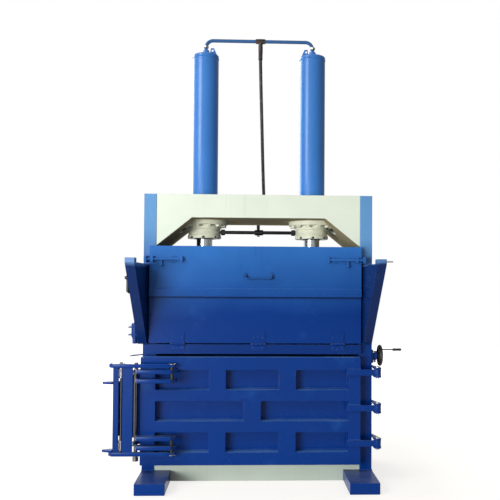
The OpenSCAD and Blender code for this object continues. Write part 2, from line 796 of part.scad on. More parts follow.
// Leaf of a butt hinge: dir +1 rises to the door, -1 drops to the sill
module hinge_leaf(x, dir) {
    third = leaf_w / 3;
    reach = dir > 0 ? 74 : 42;
    clear = knuckle_r + 1.5;
    own = dir > 0 ? [[-third / 2 + 0.5, third / 2 - 0.5]]
        : [[-leaf_w / 2, -third / 2 - 0.5], [third / 2 + 0.5, leaf_w / 2]];
    translate([x, feed_axis_y, feed_hinge_z]) difference() {
        union() {
            block([-leaf_w / 2, leaf_w / 2], [knuckle_r - leaf_t, knuckle_r],
                dir > 0 ? [clear, reach] : [-reach, -clear]);
            for (k = own) {
                bar_x(k, 0, 0, knuckle_r);
                block(k, [knuckle_r - leaf_t, knuckle_r], dir > 0 ? [0, clear] : [-clear, 0]);
            }
        }
        bar_x([-leaf_w, leaf_w], 0, 0, feed_pin_r + pin_gap);
    }
}

module door_hinge_leaves() { color(blue) for (x = hinge_x) hinge_leaf(x, 1); }
module sill_hinge_leaves() { color(blue) for (x = hinge_x) hinge_leaf(x, -1); }

module feed_hinge_pins() {
    color(steel) for (x = hinge_x)
        bar_x([x - leaf_w / 2 - 2, x + leaf_w / 2 + 2], feed_axis_y, feed_hinge_z, feed_pin_r);
}

// Bent bar handle that leans down and out from the upper panel
module pull_handle() {
    r = 6;
    half = 85;
    reach = 45;
    turn = 18;
    lean = 41;
    z = 1345;
    color(deep_blue) difference() {
        union() {
            translate([0, panel_y, z]) rotate([lean, 0, 0]) {
                bar_x([turn - half, half - turn], -reach, 0, r);
                for (s = sides) {
                    bar_y(s * half, [turn - reach, 8], 0, r);
                    translate([s * (half - turn), turn - reach, 0]) rotate([0, 0, s > 0 ? -90 : 180])
                        rotate_extrude(angle = 90) translate([turn, 0]) circle(r = r);
                }
            }
            for (s = sides) bar_y(s * half, [panel_y - 4, panel_y], z, 13);
        }
        block([-frame_w, frame_w], [panel_y, 0], [0, frame_h]);
    }
}

// Guides of the two slide bolts, two on each side of the panel
left_tip = left_keeper_x + tip_gap;
right_tip = right_keeper_x - tip_gap;
guide_at = [16, bolt_len - 30];
module bolt_guides() {
    plate_h = 34;
    color(blue) for (s = sides, g = guide_at) {
        tip = s < 0 ? left_tip : right_tip;
        x = s < 0 ? tip + g + 12 : tip - g - 12 - guide_t;
        difference() {
            block([x, x + guide_t], [bolt_y - bolt_r - 5, panel_y],
                [bolt_z - plate_h / 2, bolt_z + plate_h / 2]);
            bar_x([x - 1, x + guide_t + 1], bolt_y, bolt_z, bolt_r + pin_gap);
        }
    }
}

module slide_bolt(side) {
    tip = side < 0 ? left_tip : right_tip;
    x = side < 0 ? [tip, tip + bolt_len] : [tip - bolt_len, tip];
    knob_x = tip - side * 94;
    color(blue) {
        bar_x(x, bolt_y, bolt_z, bolt_r);
        bar_z(knob_x, bolt_y, [bolt_z - 34, bolt_z], 5);
        translate([knob_x, bolt_y, bolt_z - 38]) sphere(r = 10);
    }
}

// ---- cheeks ----

// Frame of one cheek: its root line on the column, turned outwards by the splay
module cheek_frame(side) {
    translate([side < 0 ? cheek_left_x : cheek_right_x, front_y, 0])
        rotate([0, 0, side * splay_angle]) children();
}

// Orders a pair of offsets from a cheek's inner face, measured outwards
function outward(side, a, b) = side < 0 ? [-b, -a] : [a, b];

// Wing plate with a flat bar along its sloping edge and a pad at the top corner
module cheek(side) {
    foot_point = [-cheek_toe, cheek_z0];
    head_point = [-cheek_reach, cheek_top_z];
    along = unit(head_point - foot_point);
    bar_end = head_point + 4 * along;
    off = edge_bar_t * [along[1] * -1, along[0]];
    bar_outline = [foot_point, bar_end, bar_end + off, foot_point + off];
    plate = outward(side, 0, cheek_t);
    flange = outward(side, 0, flange_w);
    color(blue) difference() {
        cheek_frame(side) difference() {
            union() {
                sideways([[2, cheek_z0], foot_point, foot_point + off, bar_end + off, bar_end,
                    [2, cheek_top_z]], plate[0], plate[1]);
                sideways(bar_outline, flange[0], flange[1]);
                block(flange, [-cheek_reach - edge_bar_t, -cheek_reach + pad_d],
                    [cheek_top_z, cheek_top_z + pad_h]);
            }
            if (side > 0) bar_x([-1, flange_w + 1], hold_pin_y, hold_pin_z, hold_pin_r + pin_gap);
        }
        block([-frame_w, frame_w], [front_y, back_y], [0, frame_h]);
    }
}

// The left cheek also carries the pin of its catch lever
module left_cheek() {
    cheek(-1);
    color(blue) cheek_frame(-1) {
        bar_x([-94, -cheek_t], catch_y, catch_z, catch_pin_r);
        bar_x([-98, -92], catch_y, catch_z, catch_pin_r + 4);
    }
}

// Hanging catch on the outside of the left cheek, with a slanted end
module catch_lever() {
    color([0.2, 0.21, 0.24]) cheek_frame(-1) difference() {
        union() {
            bar_x([-91, -67], catch_y, catch_z, 13);
            bar_z(-79, catch_y, [catch_z - 100, catch_z], 10);
        }
        bar_x([-100, -60], catch_y, catch_z, catch_pin_r + pin_gap);
        translate([-79, catch_y, catch_z - 92]) rotate([0, 35, 0])
            block([-30, 30], [-15, 15], [-30, 0]);
    }
}

// Plain pin that slides through the right cheek's pad to hold the door open
module hold_pin() {
    color(steel) cheek_frame(1) bar_x([0, flange_w + 48], hold_pin_y, hold_pin_z, hold_pin_r);
}

// ---- bale door ----

function pocket_w(n) = (field_x1 - field_x0 - (n - 1) * rib_w) / n;

// Backing plate behind a grid of ribs; the rows of pockets are laid like bricks
module bale_door() {
    color(blue) difference() {
        block([door_left, door_right], [door_front_y, door_back_y], [door_z0, door_z1]);
        for (row = [0 : 2], i = [0 : pockets_in_row[row] - 1]) {
            w = pocket_w(pockets_in_row[row]);
            x = field_x0 + i * (w + rib_w);
            z = door_z0 + rail_h + row * row_pitch;
            block([x, x + w], [door_front_y - 1, door_back_y - door_plate_t], [z, z + pocket_h]);
        }
    }
}

// Straps on the door's face, each ending in an eye beside the right column
module hinge_straps() {
    color(blue) for (z = strap_z) difference() {
        union() {
            block([strap_x0, door_axis_x], [door_front_y - strap_t, door_front_y],
                [z - strap_h / 2, z + strap_h / 2]);
            bar_z(door_axis_x, door_axis_y, [z - strap_h / 2, z + strap_h / 2], eye_r);
        }
        bar_z(door_axis_x, door_axis_y, [z - strap_h, z + strap_h], pin_r + pin_gap);
    }
}

// Pairs of gusset lugs on the column's side, above and below each strap
module door_hinge_lugs() {
    r = eye_r + 2;
    outline = [[half_w, front_y + 90], [half_w, front_y], [door_axis_x - r, door_axis_y],
        [door_axis_x + r, door_axis_y]];
    color(blue) for (z = strap_z, dir = sides) {
        z0 = z + dir * (strap_h / 2 + lug_gap) - (dir < 0 ? lug_t : 0);
        difference() {
            union() {
                flat(outline, z0, lug_t);
                bar_z(door_axis_x, door_axis_y, [z0, z0 + lug_t], r);
            }
            bar_z(door_axis_x, door_axis_y, [z0 - 1, z0 + lug_t + 1], pin_r);
        }
    }
}

module door_hinge_pins() {
    over = strap_h / 2 + lug_gap + lug_t;
    color(steel) for (z = strap_z) {
        bar_z(door_axis_x, door_axis_y, [z - over - 8, z + over], pin_r);
        bar_z(door_axis_x, door_axis_y, [z + over, z + over + 6], pin_r + 5);
    }
}

// ---- lock ----

// Horizontal plates on the door that carry the lock frame's pivot pins
module lock_brackets() {
    color(blue) for (level = [0, 1], drop = [bracket_near, bracket_far]) {
        z = level == 0 ? arm_z[0] + lock_t + drop : arm_z[1] - drop - lock_t;
        chamfer = drop == bracket_near ? 26 : 6;
        difference() {
            flat([[bracket_left, door_front_y], [bracket_left, arm_y + 14],
                [bracket_left + 14, arm_y - arm_half], [arm_x, arm_y - arm_half],
                [arm_x + bracket_end, arm_y], [arm_x + bracket_end + chamfer, door_front_y]],
                z, lock_t);
            bar_z(arm_x, arm_y, [z - 1, z + lock_t + 1], lock_pin_r);
        }
    }
}

module lock_pins() {
    reach = bracket_far + lock_t + 8;
    color(black) {
        bar_z(arm_x, arm_y, [arm_z[1] - reach, arm_z[1] + lock_t + 8], lock_pin_r);
        bar_z(arm_x, arm_y, [arm_z[0] - 8, arm_z[0] + lock_t + reach], lock_pin_r);
    }
}

// Two arms joined by upright bars at their free ends, with pointed handle tips
module lock_frame() {
    back = link_y + 26;
    left = link_x - 44;
    arm = [[arm_x, arm_y - arm_half], [left, arm_y - arm_half], [left - arm_half, arm_y],
        [left - 12, back - 14], [left + 4, back], [link_x + 30, back],
        [link_x + 70, arm_y + arm_half], [arm_x, arm_y + arm_half]];
    tip = -half_w - tip_reach;
    bars_z = [arm_z[0] + lock_t, arm_z[1]];
    color(blue) {
        for (z = arm_z) difference() {
            union() {
                flat(arm, z, lock_t);
                bar_z(arm_x, arm_y, [z, z + lock_t], arm_half);
            }
            bar_z(arm_x, arm_y, [z - 1, z + lock_t + 1], lock_pin_r + pin_gap);
            bar_z(link_x, link_y, [z - 1, z + lock_t + 1], link_rod_r + pin_gap);
        }
        block([link_x - 44, link_x - 10], [arm_y - 18, arm_y], bars_z);
        block([link_x + 15, link_x + 78], [arm_y - 18, arm_y - 6], bars_z);
        for (z = tip_z) flat([[tip, arm_y - 6], [tip + 6, arm_y - 16], [left - 6, arm_y - 34],
            [left + 2, arm_y - 18], [left + 2, arm_y + 16], [left - 24, arm_y + 18]], z, lock_t);
    }
}

function polar(r, a) = [r * cos(a), r * sin(a)];

// One hook about its pivot: shank, web and the finger that goes behind the keeper rod
module hook_outline() {
    inner = link_span + keeper_r + 1.5;
    outer = inner + 18;
    tip = -4.5;
    web = asin((keeper_r + 2) / link_span);
    far = web + 22;
    rotate(keeper_angle + hook_turn) {
        circle(r = hook_boss_r);
        polygon([for (k = [0 : 8]) polar(outer, tip + k * (far - tip) / 8), polar(8, far),
            polar(8, web), for (k = [3 : -1 : 0]) polar(inner, tip + k * (web - tip) / 3)]);
    }
}

// Two pairs of hooks, each pair joined by a sleeve on the link rod
module lock_hooks() {
    color(steel) translate([link_x, link_y, 0]) for (pair = [[0, 1], [3, 2]]) difference() {
        union() {
            for (k = pair) translate([0, 0, hook_z[k]]) linear_extrude(hook_t) hook_outline();
            bar_z(0, 0, [hook_z[pair[0]] + 1, hook_z[pair[1]] + 1], 15);
        }
        bar_z(0, 0, [0, frame_h], link_rod_r);
    }
}

module link_rod() {
    color(steel) bar_z(link_x, link_y, [arm_z[0] - 12, arm_z[1] + lock_t + 12], link_rod_r);
}

// Lugs on the left column that hold the keeper rod
module keeper_lugs() {
    color(blue) for (z = keeper_lug_z) difference() {
        union() {
            flat([[-half_w, front_y + 80], [keeper_x, keeper_y + 22], [keeper_x - 20, keeper_y],
                [keeper_x, keeper_y - 20], [-half_w, keeper_y - 10]], z, lock_t);
            bar_z(keeper_x, keeper_y, [z, z + lock_t], 20);
        }
        bar_z(keeper_x, keeper_y, [z - 1, z + lock_t + 1], keeper_r);
    }
}

module keeper_rod() {
    z0 = arm_z[0] - 65;
    color(steel) {
        bar_z(keeper_x, keeper_y, [z0, arm_z[1] + lock_t], keeper_r);
        bar_z(keeper_x, keeper_y, [z0, z0 + 26], keeper_r + 6);
    }
}

// ---- side handwheel ----

module wheel_bracket() {
    color(blue) difference() {
        union() {
            block([half_w, half_w + 10], [wheel_y - 42, wheel_y + 42], [wheel_z - 46, wheel_z + 40]);
            bar_x([half_w + 10, half_w + 38], wheel_y, wheel_z, 30);
            sideways([[wheel_y - 6, wheel_z - 46], [wheel_y + 6, wheel_z - 46],
                [wheel_y + 6, wheel_z - 20], [wheel_y - 6, wheel_z - 20]], half_w + 10, half_w + 34);
        }
        bar_x([half_w + 12, half_w + 40], wheel_y, wheel_z, shaft_r + pin_gap);
    }
}

// Rim, three spokes, hub and shaft, with the spindle of the revolving grip
module handwheel() {
    color(black) translate([wheel_x, wheel_y, wheel_z]) rotate([0, 90, 0]) {
        rotate_extrude() translate([wheel_r, 0]) circle(r = rim_d / 2);
        for (k = [0 : 2]) rotate([0, 0, crank_angle + 180 + k * 120]) rotate([0, 90, 0])
            cylinder(r = 7, h = wheel_r);
        translate([0, 0, -12]) cylinder(r = 20, h = 26);
        translate([0, 0, half_w + 14 - wheel_x]) cylinder(r = shaft_r, h = wheel_x - half_w);
        rotate([0, 0, crank_angle + 180])
            translate([wheel_r, 0, 0]) cylinder(r = spindle_r, h = grip_x1 - 4 - wheel_x);
    }
}

module handle_grip() {
    color(black) translate([grip_x0, wheel_y, wheel_z]) rotate([0, 90, 0])
        rotate([0, 0, crank_angle + 180]) translate([wheel_r, 0, 0]) rotate_extrude()
            polygon([[spindle_r + pin_gap, 0], [grip_r - 2, 0], [grip_r, 6], [grip_r - 1, grip_len / 2],
                [grip_r, grip_len - 8], [grip_r - 3, grip_len], [0, grip_len], [0, grip_len - 3],
                [spindle_r + pin_gap, grip_len - 3]]);
}

// ---- switch on the left column ----

switch_x = -half_w - 60;
switch_y = front_y + 60;
switch_z = 930;

// Two shelf plates from the column round the switch body
module switch_bracket() {
    color(blue) for (z = [switch_z + 12, switch_z + 62]) difference() {
        block([switch_x - 36, -half_w], [switch_y - 45, switch_y + 45], [z, z + 8]);
        bar_z(switch_x, switch_y, [z - 1, z + 9], 24);
    }
}

// Turned body with a ribbed lower end and two bolts on top
module switch_body() {
    color(deep_blue) translate([switch_x, switch_y, switch_z]) {
        rotate_extrude() polygon([[0, -44], [14, -44], [18, -40], [18, -34], [15, -32], [15, -28],
            [19, -26], [19, -20], [15, -18], [15, -14], [20, -12], [20, 0], [24, 2], [24, 84], [19, 90],
            [0, 90]]);
        for (s = sides) hex_z(0, s * 10, [90, 98], 13);
    }
}

// ---- one line per node ----

feet();
base_skirt();
chamber_floor();
left_column();
right_column();
side_wall(-1);  // left_wall
side_wall(1);  // right_wall
back_wall();
front_sill();
crosshead();
left_cheek();
cheek(1);  // right_cheek
barrel(-1);  // left_barrel
barrel(1);  // right_barrel
cap(-1);  // left_cap
cap(1);  // right_cap
clamp_flange(-1);  // left_flange
clamp_flange(1);  // right_flange
flange_bolts();
gland(-1);  // left_gland
gland(1);  // right_gland
gland_screws();
bridge_pipe();
hose_tee();
hose();
lower_pipe();
bulkhead_bracket();
bulkhead_couplings();
bolt_keepers();
sill_hinge_leaves();
feed_hinge_pins();
door_hinge_lugs();
door_hinge_pins();
keeper_lugs();
keeper_rod();
wheel_bracket();
switch_bracket();
switch_body();
ram_rod(-1);  // left_rod
ram_rod(1);  // right_rod
piston(-1);  // left_piston
piston(1);  // right_piston
platen();
feed_door();
door_hinge_leaves();
pull_handle();
bolt_guides();
slide_bolt(-1);  // left_slide_bolt
slide_bolt(1);  // right_slide_bolt
bale_door();
hinge_straps();
lock_brackets();
lock_pins();
lock_frame();
lock_hooks();
link_rod();
handwheel();
handle_grip();
hold_pin();
catch_lever();
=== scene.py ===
"""Looks of an upright two-cylinder cotton baler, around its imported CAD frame.

Laid out as a Blender add-on and run as a script. The frame is loaded first, and every size that
is not set below comes from it. Metres, +X right, the doors face -Y, +Z up.
"""

import json
import math

import bmesh
import bpy
import numpy as np
from bpy.props import FloatProperty, FloatVectorProperty, IntProperty, PointerProperty
from mathutils import Matrix, Vector


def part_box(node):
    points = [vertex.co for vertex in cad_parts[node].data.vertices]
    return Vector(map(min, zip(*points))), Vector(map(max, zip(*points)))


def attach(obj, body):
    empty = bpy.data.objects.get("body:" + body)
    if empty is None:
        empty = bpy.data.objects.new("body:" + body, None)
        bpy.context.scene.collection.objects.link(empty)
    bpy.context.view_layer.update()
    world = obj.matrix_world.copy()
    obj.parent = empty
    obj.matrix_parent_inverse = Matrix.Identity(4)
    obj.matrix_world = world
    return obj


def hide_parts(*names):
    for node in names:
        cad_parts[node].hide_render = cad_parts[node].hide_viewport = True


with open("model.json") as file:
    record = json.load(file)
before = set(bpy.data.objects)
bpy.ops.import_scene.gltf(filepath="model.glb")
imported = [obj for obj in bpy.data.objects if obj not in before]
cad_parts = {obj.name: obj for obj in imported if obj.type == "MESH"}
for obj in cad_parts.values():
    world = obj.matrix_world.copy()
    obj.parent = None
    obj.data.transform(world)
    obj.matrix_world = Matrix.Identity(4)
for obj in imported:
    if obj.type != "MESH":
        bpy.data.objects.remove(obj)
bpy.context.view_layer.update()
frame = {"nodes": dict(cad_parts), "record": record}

bl_info = {
    "name": "Cotton baler looks",
    "version": (1, 0, 0),
    "blender": (4, 5, 0),
    "location": "3D Viewport > Sidebar > Baler",
    "description": "Paint, fittings, hose and studio for an upright two-cylinder baler",
    "category": "Object",
}

NODE_BODY = {node: body for body, nodes in frame["record"]["behaviour"]["bodies"].items()
             for node in nodes}
SLOTS = {row["node"]: row["material_slot"] for row in frame["record"]["subparts"]}


def linear(red, green, blue):
    """A linear colour from 0-255 display values"""
    parts = [v / 255 for v in (red, green, blue)]
    return tuple(v / 12.92 if v <= 0.04045 else ((v + 0.055) / 1.055) ** 2.4 for v in parts)


# ---------------------------------------------------------------- sizes and colours


def colour_setting(name, description, red, green, blue):
    """A colour setting, its default in 0-255 display values"""
    return FloatVectorProperty(name=name, description=description, subtype="COLOR", size=3,
                               min=0, max=1, default=linear(red, green, blue))


def share_setting(name, description, default):
    """A setting from 0 to 1"""
    return FloatProperty(name=name, description=description, subtype="FACTOR",
                         default=default, min=0, max=1)


def length_setting(name, description, default, least, most):
    """A length setting in metres"""
    return FloatProperty(name=name, description=description, unit="LENGTH",
                         default=default, min=least, max=most)


def angle_setting(name, description, degrees):
    """An angle setting"""
    return FloatProperty(name=name, description=description, subtype="ANGLE",
                         default=math.radians(degrees))


class PaintSettings(bpy.types.PropertyGroup):
    """Colours and surface of the painted and bare metal"""

    blue: colour_setting("Blue enamel", "Main colour of frame, doors and cylinders", 0, 52, 130)
    # painted light: the paler blue painted on the upper parts, where the light falls stronger
    blue_lit_high_up: colour_setting(
        "Blue lit high up", "Blue enamel where the light has bleached it, high up", 54, 120, 196)
    deep_blue: colour_setting(
        "Deep blue enamel", "Blue of the parts that were painted separately", 0, 47, 118)
    cream: colour_setting(
        "Cream enamel", "Colour of crosshead, flanges, glands and base skirt", 200, 213, 200)
    # painted light: the paler cream painted on the upper parts, where the light falls stronger
    cream_lit_high_up: colour_setting(
        "Cream lit high up", "Cream enamel high up, where no lint has settled", 224, 233, 218)
    gloss_roughness: share_setting("Enamel roughness", "Roughness of clean enamel", 0.27)
    edge_radius: length_setting("Edge radius", "Rounding of the plate edges", 0.0022, 0.0002, 0.01)
    dust: share_setting("Dust", "Amount of lint dust on upward faces", 0.28)


class FittingSettings(bpy.types.PropertyGroup):
    """Screws, washers, nuts, rings and weld beads"""

    screw_d: length_setting(
        "Hinge screw head", "Diameter of the countersunk screws in the hinges", 0.013, 0.004, 0.03)
    bead_w: length_setting("Weld bead width", "Width of the fillet welds", 0.009, 0.003, 0.02)
    bead_pitch: length_setting(
        "Weld ripple pitch", "Distance between two ripples of a weld", 0.0042, 0.002, 0.02)
    nut_across: length_setting(
        "Pipe nut", "Size of the pipe nuts across their flats", 0.036, 0.02, 0.05)
    washer_t: length_setting(
        "Washer thickness", "Thickness of the plain washers", 0.003, 0.001, 0.006)
    seed: IntProperty(name="Seed", description="Seed of the turned screw slots and uneven welds",
                      default=7, min=0, max=999)


class HoseSettings(bpy.types.PropertyGroup):
    """The pressure hose between the tee and the rear coupling"""

    diameter: length_setting("Hose diameter", "Outside diameter of the hose", 0.0238, 0.01, 0.04)
    ferrule: length_setting("Ferrule length", "Length of the crimped ferrules", 0.052, 0.02, 0.08)


class StageSettings(bpy.types.PropertyGroup):
    """The camera"""

    camera_at: FloatVectorProperty(
        name="Camera", description="Place of the camera", subtype="TRANSLATION", size=3,
        unit="LENGTH", default=(-0.0645, -4.7441, 1.2978))
    camera_yaw: angle_setting("Yaw", "Turn of the camera to the left", -2.094)
    camera_pitch: angle_setting("Pitch", "Tilt of the camera upwards", 1.36)
    camera_roll: angle_setting("Roll", "Roll of the camera", 0.351)
    lens: FloatProperty(
        name="Lens", description="Focal length in millimetres, on a sensor 36 mm wide",
        default=48.7584, min=10, max=200)
    shift_x: FloatProperty(
        name="Shift X", description="Horizontal shift of the frame", default=-0.047)
    shift_y: FloatProperty(
        name="Shift Y", description="Vertical shift of the frame", default=0.0314)


GROUPS = {"baler_paint": PaintSettings, "baler_fittings": FittingSettings,
          "baler_hose": HoseSettings, "baler_stage": StageSettings}


# ---------------------------------------------------------------- shader expressions


class Wire:
    """An output of a material's node tree that works in Python expressions"""

    def __init__(self, finish, socket):
        self.finish, self.socket = finish, socket

    def math(self, operation, *others, clamp=False):
        return self.finish.node("ShaderNodeMath", {"operation": operation, "use_clamp": clamp},
                                dict(enumerate([self, *others])))

    def __add__(self, other):
        return self.math("ADD", other)

    def __sub__(self, other):
        return self.math("SUBTRACT", other)

    def __rsub__(self, other):
        return self.finish.node("ShaderNodeMath", {"operation": "SUBTRACT"}, {0: other, 1: self})

    def __mul__(self, other):
        return self.math("MULTIPLY", other)

    def clamped(self):
        return self.math("ADD", 0.0, clamp=True)

    def between(self, low, high):
        """0 below low, 1 above high, straight between them"""
        return self.finish.node("ShaderNodeMapRange", {}, {
            "Value": self, "From Min": low, "From Max": high})


class Finish:
    """One material, or the world, built node by node"""

    def __init__(self, name, kind="materials"):
        self.block = getattr(bpy.data, kind).new(name)
        self.block.use_nodes = True
        self.tree = self.block.node_tree
        self.tree.nodes.clear()

    def node(self, kind, settings=None, values=None, output=0):
        made = self.tree.nodes.new(kind)
        for key, value in (settings or {}).items():
            setattr(made, key, value)
        for key, value in (values or {}).items():
            socket = made.inputs[key]
            if isinstance(value, Wire):
                self.tree.links.new(value.socket, socket)
            elif socket.type == "RGBA" and len(value) == 3:
                socket.default_value = (*value, 1)
            else:
                socket.default_value = value
        return Wire(self, made.outputs[output])

    def place(self, stretch=(1, 1, 1)):
        """Object coordinates, stretched along each axis"""
        raw = self.node("ShaderNodeTexCoord", output="Object")
        if stretch == (1, 1, 1):
            return raw
        return self.node("ShaderNodeMapping", {}, {"Vector": raw, "Scale": stretch})

    def noise(self, scale, detail=3.0, rough=0.55, stretch=(1, 1, 1)):
        return self.node("ShaderNodeTexNoise", {}, {
            "Vector": self.place(stretch), "Scale": scale, "Detail": detail, "Roughness": rough})

    def blend(self, factor, first, second):
        return self.node("ShaderNodeMix", {"data_type": "RGBA"},
                         {0: factor, 6: first, 7: second}, output=2)

    def facing(self, axis):
        """How far a face looks along one axis: 0 is X, 1 is Y and 2 is Z"""
        normal = self.node("ShaderNodeNewGeometry", output="Normal")
        return self.node("ShaderNodeSeparateXYZ", {}, {0: normal}, output=axis)

    def bump(self, height, depth, strength):
        return self.node("ShaderNodeBump", {}, {
            "Height": height, "Distance": depth, "Strength": strength})

    def rays(self, *kinds):
        """For each kind of ray, 1 where light comes to that kind and 0 elsewhere"""
        path = self.tree.nodes.new("ShaderNodeLightPath")
        return [Wire(self, path.outputs[f"Is {kind} Ray"]) for kind in kinds]

    def close(self, **sockets):
        """Ends the material in one Principled shader"""
        values = {key.replace("_", " "): value for key, value in sockets.items()}
        return self.end(self.node("ShaderNodeBsdfPrincipled", {}, values))

    def end(self, shader, kind="Material"):
        out = self.tree.nodes.new("ShaderNodeOutput" + kind)
        self.tree.links.new(shader.socket, out.inputs["Surface"])
        return self.block


def shade(colour, factor):
    """A colour made darker or lighter"""
    return tuple(min(1.0, v * factor) for v in colour)


DUST = linear(160, 174, 192)    # lint that has settled on the enamel
PRIMER = linear(118, 128, 140)  # what shows where an edge is rubbed
RUST = linear(112, 74, 50)


def enamel(name, colour, lit_colour, roughness, dust, wear=0.35, specular=0.13, lit_heights=(1.06, 1.68),
           under=None, peel_depth=0.16, upward_light=0.0, shadow_line_top=None):
    """Brushed-on machine enamel with painted light and shade: painted light makes it paler from
    the first given height to the second and, by a given share, on upward faces; uneven tone, runs,
    rubbed edges, orange peel and dust; painted shade in a given colour on undersides, which are
    rougher there; a painted shadow line just below a given height"""
    f = Finish(name)
    broad = f.noise(1.4, 3.0)
    patches = f.noise(7.0, 4.0, 0.6)
    runs = f.noise(3.0, 4.0, 0.6, stretch=(11, 11, 0.8))
    grit = f.noise(90.0, 5.0, 0.65)
    height = f.node("ShaderNodeSeparateXYZ", {}, {0: f.place()}, output=2)
    # painted light: paler from the first given height to the second, where the light falls
    # stronger
    painted_light_by_height = (height + broad * 0.3 - 0.15).between(*lit_heights)
    tone = f.blend(painted_light_by_height, colour, lit_colour)
    tone = f.blend(broad.between(0.70, 0.32) * 0.20, tone, shade(colour, 0.45))
    tone = f.blend(runs.between(0.60, 0.86) * 0.30, tone, shade(colour, 0.62))
    tone = f.blend(patches.between(0.60, 0.82) * 0.16, tone, shade(lit_colour, 1.15))
    corner = f.node("ShaderNodeBevel", {"samples": 4}, {"Radius": 0.0035})
    plain = f.node("ShaderNodeNewGeometry", output="Normal")
    apart = f.node("ShaderNodeVectorMath", {"operation": "DOT_PRODUCT"},
                   {0: corner, 1: plain}, output="Value")
    rubbed = (apart.between(0.985, 0.90) * (grit * 0.5 + patches * 0.7).between(0.50, 0.72)
              ).clamped() * wear
    tone = f.blend(rubbed, tone, tuple((a + b) / 2 for a, b in zip(PRIMER, lit_colour)))
    # painted shade: undersides take the given colour, and are rougher there
    film = f.facing(2).between(-0.15, -0.55) * (0.85 if under else 0.0)
    tone = f.blend(film, tone, under or colour)
    # painted shadow: a dark line just below the given height
    if shadow_line_top is not None:
        above = (height + runs * 0.006).between(shadow_line_top - 0.010, shadow_line_top - 0.002)
        line = above * height.between(shadow_line_top + 0.0006, shadow_line_top - 0.0002)
        tone = f.blend(line * 0.85, tone, shade(colour, 0.25))
    upward = f.facing(2).between(0.55, 0.95)
    # painted light: upward faces paler by the given share
    tone = f.blend(upward * upward_light, tone, lit_colour)
    lying = upward * patches.between(0.25, 0.75) * dust
    tone = f.blend(lying.clamped(), tone, DUST)
    peel = f.noise(210.0, 2.0, 0.5)
    normal = f.bump(peel * 0.6 + grit * 0.15 + rubbed * -0.6, 0.0006, peel_depth)
    gloss = (patches * 0.12 + lying * 0.45 + rubbed * 0.25 + film * 0.7
             + (roughness - 0.06)).clamped()
    return f.close(Base_Color=tone, Roughness=gloss, Normal=normal, Specular_IOR_Level=specular)


def chrome():
    """Ground and chromed rod: fine rings, faint oil film"""
    f = Finish("ground_chrome")
    rings = f.noise(40.0, 3.0, 0.6, stretch=(0.4, 0.4, 26))
    film = f.noise(5.0, 4.0, 0.6, stretch=(3, 3, 0.6))
    tone = f.blend(film.between(0.35, 0.7), linear(206, 212, 218), linear(176, 182, 186))
    return f.close(Base_Color=tone, Metallic=1.0, Roughness=rings * 0.08 + film * 0.10 + 0.05,
                   Normal=f.bump(rings, 0.00008, 0.35))


def steel(name, colour, roughness, rust=0.15):
    """Turned or rolled steel with handling marks and a little rust"""
    f = Finish(name)
    grain = f.noise(30.0, 5.0, 0.6, stretch=(1, 1, 7))
    spots = f.noise(38.0, 5.0, 0.7)
    tone = f.blend(grain.between(0.3, 0.7), shade(colour, 0.72), shade(colour, 1.1))
    stain = spots.between(0.60, 0.74) * rust
    tone = f.blend(stain, tone, RUST)
    return f.close(Base_Color=tone, Metallic=1 - stain * 0.8,
                   Roughness=grain * 0.22 + stain * 0.4 + roughness,
                   Normal=f.bump(grain * 0.5 + spots * 0.5, 0.0003, 0.30))


def blackened(name, colour, roughness):
    """Black phosphated or painted steel, worn to a sheen"""
    f = Finish(name)
    patches = f.noise(26.0, 4.0, 0.6)
    grit = f.noise(160.0, 3.0)
    tone = f.blend(patches.between(0.45, 0.75), colour, shade(colour, 2.4))
    return f.close(Base_Color=tone, Metallic=0.35, Roughness=patches * 0.20 + roughness,
                   Normal=f.bump(grit, 0.0004, 0.25))


def hose_cover():
    """Rubber hose cover with the wrap marks of its cloth curing tape"""
    f = Finish("hose_cover")
    along = f.node("ShaderNodeUVMap")
    wrap = f.node("ShaderNodeTexWave", {"wave_type": "BANDS", "bands_direction": "Y"},
                  {"Vector": f.node("ShaderNodeMapping", {}, {
                      "Vector": along, "Rotation": (0, 0, 0.5)}),
                   "Scale": 60.0, "Distortion": 0.6, "Detail": 2.0})
    grain = f.noise(300.0, 3.0)
    scuff = f.noise(22.0, 4.0, 0.65)
    tone = f.blend(scuff.between(0.50, 0.75), linear(24, 25, 27), linear(74, 74, 73))
    return f.close(Base_Color=tone, Roughness=scuff * 0.20 + 0.42,
                   Normal=f.bump(wrap * 0.7 + grain * 0.3, 0.0006, 0.45), Specular_IOR_Level=0.4)


def plastic(name, colour):
    """Moulded black plastic, slightly polished where hands turn it"""
    f = Finish(name)
    grain = f.noise(420.0, 3.0)
    hands = f.noise(16.0, 4.0)
    tone = f.blend(hands.between(0.42, 0.74), colour, shade(colour, 1.9))
    return f.close(Base_Color=tone, Roughness=hands * 0.25 + 0.28,
                   Normal=f.bump(grain, 0.0002, 0.35))


FINISHES = {}


